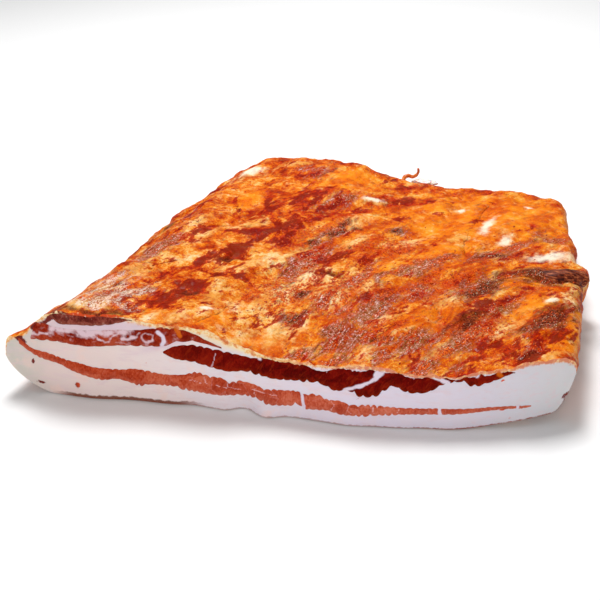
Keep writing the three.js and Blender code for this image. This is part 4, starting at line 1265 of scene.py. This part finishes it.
def dress_slab():
    """Gives the seated slab its painted fields and its two finishes."""
    mesh = slab.data
    x, y, z = points_of(mesh).T
    fields = surface_fields(x, y, z)
    normals = np.zeros(len(mesh.vertices) * 3)
    mesh.vertices.foreach_get("normal", normals)
    fields["under"] = smooth_step(0.25, 0.75, -normals.reshape(-1, 3)[:, 2])
    along = 1 - (smooth_curve(BACK_EDGE, x) - y) / slab_length(x)
    across = (x - row_left(along)) / (row_right(along) - row_left(along))
    thick_rub = RUB_DEPTH * np.exp(-(((x - RUB_DEPTH_PLACE) / RUB_DEPTH_WIDTH) ** 2))
    fields["depth"] = np.clip(top_height(across, along) - z - thick_rub, 0, 20)
    fields["foot"] = np.clip(z - under_height(across, along), 0, 20)
    fields["grain"] = fields["grain"] * METRE
    fields["cream"] = patch_strength(x, z, CREAM_FAT)
    fields["lilac"] = patch_strength(x, z, LILAC_FAT)
    fields["spot"] = patch_strength(x, z, CUT_SPOTS)
    fields["drip"] = near_lines(x, z, RUB_DRIPS, RUB_DRIP_WIDTH)
    store_fields(mesh, fields)
    mesh.materials.clear()
    for finish in slab_finishes:
        mesh.materials.append(finish)
    faces = len(mesh.polygons)
    centres, facing = np.zeros(faces * 3), np.zeros(faces * 3)
    mesh.polygons.foreach_get("center", centres)
    mesh.polygons.foreach_get("normal", facing)
    centres = centres.reshape(-1, 3) / METRE - FRAME_SHIFT
    off_blade = centres[:, 1] - blade_y(centres[:, 0], centres[:, 2])
    cut = (np.abs(off_blade) < ON_THE_BLADE) & (facing.reshape(-1, 3)[:, 1] < -0.6)
    mesh.polygons.foreach_set("material_index", np.where(cut, CUT, CRUST).astype(np.int32))
    mesh.shade_smooth()
    mesh.set_sharp_from_angle(angle=math.radians(55))


def marbling(node, x, z, lower):
    """How marbled a layer's meat is: the marbled layer is lacy at the left, over its lowest 2 mm."""
    if node == "left_lean":
        share_up = (z - lower) / 7
        lacy = 0.58 * smooth_step(0.32, 0.8, share_up) + 0.5 * smooth_step(0.8, 1.1, share_up)
        lacy = lacy * (1 - smooth_step(-84, -66, x)) - 0.2
        return lacy * smooth_step(-124, -120, x + 0.6 * (38 - z))
    return 0.05 if node == "dried_lean" else 0.0


def dress_layer(node, piece):
    """Gives a layer its painted fields and its finish."""
    mesh, meat = piece.data, MEAT[node]
    mesh.materials.append(lean_finish(node))
    x, y, z = points_of(mesh).T
    _, lower, _ = layer_edges(LAYERS[node], LAYER_SEEDS[node], x)
    face_points = np.stack([x, z, np.zeros_like(x)], axis=1)
    sway, sway_up = lumps(face_points, 3.2, 331), lumps(face_points, 3.2, 332)
    seams = near_lines(x + sway, z + sway_up, SEAMS[node], meat["seam_width"])
    at_bottom = node == "lower_lean"
    store_fields(mesh, {
        "seam": np.maximum(seams, marbling(node, x, z, lower)),
        "drip": near_lines(x, z, RUB_DRIPS, RUB_DRIP_WIDTH),
        "cleft": near_lines(x + sway / 2, z + sway_up / 2, CLEFTS[node], meat["cleft_width"]),
        "rightward": smooth_step(-85, 30, x) if at_bottom else smooth_step(-90, -20, x),
        "seamed": at_bottom * FINE_SEAM_SHARE * smooth_step(-75, -40, x),
        "rim": np.exp(-np.maximum(z - lower, 0) / RIM_WIDTH),
    })
    mesh.shade_smooth()
    mesh.set_sharp_from_angle(angle=math.radians(50))


dress_slab()
for node, piece in layer_pieces.items():
    dress_layer(node, piece)

for piece in [slab, *layer_pieces.values()]:
    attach(piece, "root")
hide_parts("fat_slab")
for node, piece in layer_pieces.items():
    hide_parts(node)

# ---------------------------------------------------------------- sinew, dried strip and scrap of fat
# A dried sinew that curls up from the back edge, a scrap of white fat beside it, and a strip of dried
# meat over the right edge, left hanging on by the knife. Two tapered tubes and a lumpy ball.

SINEW_PATH = [
    (8, 129, 33), (8, 131.5, 35.5), (10.5, 133.5, 36.6), (13.5, 134.5, 35.8), (16, 135, 37),
    (17.5, 135.5, 39.6), (17, 136, 42.5),
]
SINEW_RADIUS = 1.45
SINEW_SIDES = 10
SINEW_STEPS = 48
STRIP_PATH = [
    (92, 6, 30.5), (103, 4.5, 32.5), (113, 3.5, 35), (122, 4.5, 36.4), (130, 8, 35.4), (135, 11.5, 34),
    (139, 14.5, 33),
]
STRIP_STEPS = 110
STRIP_SIDES = 40
STRIP_SECTION = (6.2, 4.4)  # half its width and height
SCRAP_MIDDLE = (23, 133, 32.6)
SCRAP_SIZE = (17, 8, 6)


def through_points(stations, count):
    """Evenly shared points on a smooth curve through the stations."""
    stations = np.array(stations, float)
    padded = np.concatenate([2 * stations[:1] - stations[1:2], stations, 2 * stations[-1:] - stations[-2:-1]])
    place = np.linspace(0, len(stations) - 1, count)
    k = np.minimum(place.astype(int), len(stations) - 2)
    t = (place - k)[:, None]
    a, b, c, d = (padded[k + step] for step in range(4))
    bend, twist = 2 * a - 5 * b + 4 * c - d, 3 * b - a - 3 * c + d
    return 0.5 * (2 * b + (c - a) * t + bend * t ** 2 + twist * t ** 3)


def tube_skin(path, radii, sides, upright=(0.31, 0.2, 0.93), section=(1, 1)):
    """A closed tube round a path, with a point at each end and a section of this width and height."""
    ahead = np.gradient(path, axis=0)
    ahead /= np.linalg.norm(ahead, axis=1, keepdims=True)
    side = np.cross(ahead, upright)
    side /= np.linalg.norm(side, axis=1, keepdims=True)
    other = np.cross(ahead, side)
    angle = np.linspace(0, 2 * np.pi, sides, endpoint=False)[None, :, None]
    ring = section[0] * side[:, None] * np.cos(angle) + section[1] * other[:, None] * np.sin(angle)
    points = (path[:, None] + radii[:, None, None] * ring).reshape(-1, 3)
    index = np.arange(len(points)).reshape(len(path), sides)
    wrapped = np.concatenate([index, index[:, :1]], axis=1)
    start, end = len(points), len(points) + 1
    caps = [[start, wrapped[0, k], wrapped[0, k + 1]] for k in range(sides)]
    caps += [[end, wrapped[-1, k + 1], wrapped[-1, k]] for k in range(sides)]
    points = np.concatenate([points, path[:1], path[-1:]])
    return points, np.concatenate([grid_faces(wrapped), caps])[:, ::-1]


sinew_path = through_points(SINEW_PATH, SINEW_STEPS)
run = np.linspace(0, 1, SINEW_STEPS)
knots = 1 + 0.22 * lumps(np.stack([run * 20, run, run], 1), 1.7, 301)
sinew = new_piece("dried_sinew", *tube_skin(
    sinew_path, SINEW_RADIUS * knots * (1.15 - 0.55 * run) * round_over((1.02 - run) * 12, 2), SINEW_SIDES
))
strip_path = through_points(STRIP_PATH, STRIP_STEPS)
run = np.linspace(0, 1, STRIP_STEPS)
strip_end = round_over((1.0 - run) * 11, 3) * round_over(run * 1.6 + 0.01, 1.2)
strip_points, strip_faces = tube_skin(strip_path, strip_end, STRIP_SIDES, (0, 0, 1), STRIP_SECTION)
furrows = lumps(strip_points * (0.18, 0.9, 0.9), 2.2, 305) + 0.6 * lumps(strip_points, 4.5, 306)
strip_points = strip_points + 0.9 * furrows[:, None] * outward(strip_points, strip_faces)
strip = new_piece("dried_strip", strip_points, strip_faces)
ball = bmesh.new()
bmesh.ops.create_icosphere(ball, subdivisions=5, radius=0.5)
scrap_points = np.array([vertex.co for vertex in ball.verts])
scrap_faces = np.array([[vertex.index for vertex in face.verts] for face in ball.faces])
ball.free()
scrap_points *= (1 + 0.42 * crags(scrap_points * 10, 4, 3, 311))[:, None]
scrap = new_piece("fat_scrap", scrap_points * SCRAP_SIZE + SCRAP_MIDDLE, scrap_faces)

sinew_paint = Finish("dried_sinew")
sinew_noise = sinew_paint.noise(sinew_paint.place, 2, 4, 0.6)
sinew.data.materials.append(sinew_paint.finish(
    sinew_paint.ramp(sinew_noise, [(0.4, paint(196, 76, 8)), (0.6, paint(236, 132, 26))]), 0.4,
    sinew_paint.bumps([(sinew_noise, 0.2)]), Subsurface_Weight=0.1, Subsurface_Scale=0.001,
))
strip_paint = Finish("dried_strip")
strip_grain = strip_paint.noise(strip_paint.scaled(strip_paint.place, (0.25, 1.0, 1.0)), 1.6, 6, 0.66)
strip.data.materials.append(strip_paint.finish(
    strip_paint.ramp(strip_grain, [
        (0.38, paint(56, 14, 6)), (0.47, paint(96, 34, 18)), (0.54, paint(140, 62, 34)),
        (0.63, paint(196, 112, 66)),
    ]), 0.4, strip_paint.bumps([(strip_grain, 0.5)]), Specular_IOR_Level=0.12,
))
scrap_paint = Finish("white_fat_scrap")
scrap_noise = scrap_paint.noise(scrap_paint.place, 3, 4, 0.6)
scrap.data.materials.append(scrap_paint.finish(
    scrap_paint.ramp(scrap_noise, [(0.4, paint(226, 220, 226)), (0.62, paint(240, 226, 206))]), 0.38,
    scrap_paint.bumps([(scrap_noise, 0.3)]), Subsurface_Weight=0.3, Subsurface_Scale=0.002,
))
for piece in (sinew, scrap, strip):
    piece.data.shade_smooth()
    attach(piece, "root")
    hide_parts("fat_slab")

# ---------------------------------------------------------------- flakes, crumbs and torn fibres
# What sticks to the oily crust: flakes of dried paprika, crumbs of fat and torn ends of meat fibre.
# One Geometry Nodes tree scatters each kind over the slab where its field is strong.


def scatter_tree():
    """Points on the slab, thick where a named field is strong, each with a turned and sized copy."""
    tree = bpy.data.node_groups.new("stuck_to_the_crust", "GeometryNodeTree")
    sockets = [
        ("Slab", "NodeSocketObject"), ("Shape", "NodeSocketObject"), ("Field", "NodeSocketString"),
        ("Per square metre", "NodeSocketFloat"), ("Seed", "NodeSocketInt"), ("Smallest", "NodeSocketFloat"),
        ("Largest", "NodeSocketFloat"), ("Grain", "NodeSocketVector"), ("Stray", "NodeSocketFloat"),
        ("Finish", "NodeSocketMaterial"),
    ]
    tree.interface.new_socket(name="Geometry", in_out="INPUT", socket_type="NodeSocketGeometry")
    for name, kind in sockets:
        tree.interface.new_socket(name=name, in_out="INPUT", socket_type=kind)
    tree.interface.new_socket(name="Geometry", in_out="OUTPUT", socket_type="NodeSocketGeometry")

    def node(kind, inputs=None, **settings):
        return wired_node(tree, kind, inputs, **settings).outputs

    given = node("NodeGroupInput")
    base = node("GeometryNodeObjectInfo", {"Object": given["Slab"]})
    field = node("GeometryNodeInputNamedAttribute", {"Name": given["Field"]}, data_type="FLOAT")
    upward = node("ShaderNodeSeparateXYZ", {0: node("GeometryNodeInputNormal")["Normal"]})
    facing_up = node("ShaderNodeMapRange", {"Value": upward["Z"], "From Min": 0.25, "From Max": 0.7})
    strong = node("ShaderNodeMath", {0: field["Attribute"], 1: 2.5}, operation="POWER")
    share = node("ShaderNodeMath", {0: strong[0], 1: facing_up["Result"]}, operation="MULTIPLY")
    density = node("ShaderNodeMath", {0: share[0], 1: given["Per square metre"]}, operation="MULTIPLY")
    points = node("GeometryNodeDistributePointsOnFaces", {
        "Mesh": base["Geometry"], "Density": density[0], "Seed": given["Seed"],
    }, distribute_method="RANDOM")
    shape = node("GeometryNodeObjectInfo", {"Object": given["Shape"]})
    stray = node("FunctionNodeRandomValue", {
        0: (-1, -1, -1), 1: (1, 1, 1), "Seed": given["Seed"],
    }, data_type="FLOAT_VECTOR")
    strayed = node("ShaderNodeVectorMath", {0: stray[0], "Scale": given["Stray"]}, operation="SCALE")
    heading = node("ShaderNodeVectorMath", {0: given["Grain"], 1: strayed[0]}, operation="ADD")
    lay = node("FunctionNodeAlignRotationToVector", {
        "Rotation": points["Rotation"], "Vector": heading[0],
    }, axis="X", pivot_axis="Z")
    size = node("FunctionNodeRandomValue", {
        2: given["Smallest"], 3: given["Largest"], "Seed": given["Seed"],
    }, data_type="FLOAT")
    copies = node("GeometryNodeInstanceOnPoints", {
        "Points": points["Points"], "Instance": shape["Geometry"], "Rotation": lay["Rotation"],
        "Scale": size[1],
    })
    real = node("GeometryNodeRealizeInstances", {"Geometry": copies["Instances"]})
    finished = node("GeometryNodeSetMaterial", {"Geometry": real["Geometry"], "Material": given["Finish"]})
    node("NodeGroupOutput", {"Geometry": finished["Geometry"]})
    return tree


def stuck_on(name, tree, shape, finish, **values):
    """One plain mesh of copies stuck to the slab."""
    piece = bpy.data.objects.new(name, bpy.data.meshes.new(name))
    bpy.context.scene.collection.objects.link(piece)
    spread = piece.modifiers.new("spread", "NODES")
    spread.node_group = tree
    given = {"Slab": slab, "Shape": shape, "Finish": finish}
    given.update({key.replace("_", " "): value for key, value in values.items()})
    for socket in tree.interface.items_tree:
        if socket.in_out == "INPUT" and socket.name in given:
            spread[socket.identifier] = given[socket.name]
    make_plain(piece)
    piece.data.shade_smooth()
    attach(piece, "root")
    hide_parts("fat_slab")
    bpy.data.objects.remove(shape)


def lumpy_shape(name, stretch, unevenness, seed):
    """A lump 1 mm long to make copies of."""
    ball = bmesh.new()
    bmesh.ops.create_icosphere(ball, subdivisions=1, radius=0.5)
    draw = np.random.default_rng(seed)
    for vertex in ball.verts:
        vertex.co = Vector(vertex.co * (1 + unevenness * draw.normal())) * METRE
        vertex.co = Vector([part * share for part, share in zip(vertex.co, stretch)])
    mesh = bpy.data.meshes.new(name)
    ball.to_mesh(mesh)
    ball.free()
    return bpy.data.objects.new(name, mesh)


def thread_shape(name, length, radius, bow):
    """A bowed thread with tapered ends."""
    run = np.linspace(-0.5, 0.5, 6)
    path = np.stack([run * length, bow * run ** 2, np.full_like(run, 0.35 * radius)], axis=1)
    points, faces = tube_skin(path, radius * np.sqrt(1.05 - 4 * run ** 2), 3)
    mesh = bpy.data.meshes.new(name)
    mesh.from_pydata((points * METRE).tolist(), [], faces.tolist())
    return bpy.data.objects.new(name, mesh)


def stuck_finish(name, dark, main, light, roughness):
    speck = Finish(name)
    tone = speck.noise(speck.place, 3.0, 4, 0.7)
    colour = speck.ramp(tone, [(0.40, dark), (0.50, main), (0.60, light)])
    return speck.finish(
        colour, roughness, speck.bumps([(tone, 0.1)]), Specular_IOR_Level=0.3, Subsurface_Weight=0.08,
        Subsurface_Scale=0.0006,
    )


GRAIN_HEADING = (0.42, 0.9, 0.0)
spread_tree = scatter_tree()
flake_paint = stuck_finish("paprika_flakes", paint(160, 30, 2), paint(208, 62, 3), paint(238, 108, 12), 0.45)
crumb_paint = stuck_finish(
    "fat_crumbs", paint(222, 168, 104), paint(244, 222, 184), paint(252, 244, 230), 0.4
)
fibre_paint = stuck_finish("torn_fibres", paint(130, 60, 36), paint(196, 128, 92), paint(240, 214, 186), 0.4)
stuck_on(
    "paprika_flakes", spread_tree, lumpy_shape("flake", (1.0, 0.5, 0.22), 0.22, 401), flake_paint,
    Field="rub", Per_square_metre=290000.0, Seed=11, Smallest=0.6, Largest=1.9,
    Grain=GRAIN_HEADING, Stray=0.7,
)
stuck_on(
    "fat_crumbs", spread_tree, lumpy_shape("crumb", (1.0, 0.7, 0.4), 0.2, 402), crumb_paint,
    Field="lean", Per_square_metre=240000.0, Seed=12, Smallest=0.3, Largest=0.9,
    Grain=GRAIN_HEADING, Stray=1.5,
)
stuck_on(
    "torn_fibres", spread_tree, thread_shape("fibre", 5.5, 0.085, 1.2), fibre_paint,
    Field="lean", Per_square_metre=45000.0, Seed=13, Smallest=0.5, Largest=1.3,
    Grain=GRAIN_HEADING, Stray=0.45,
)
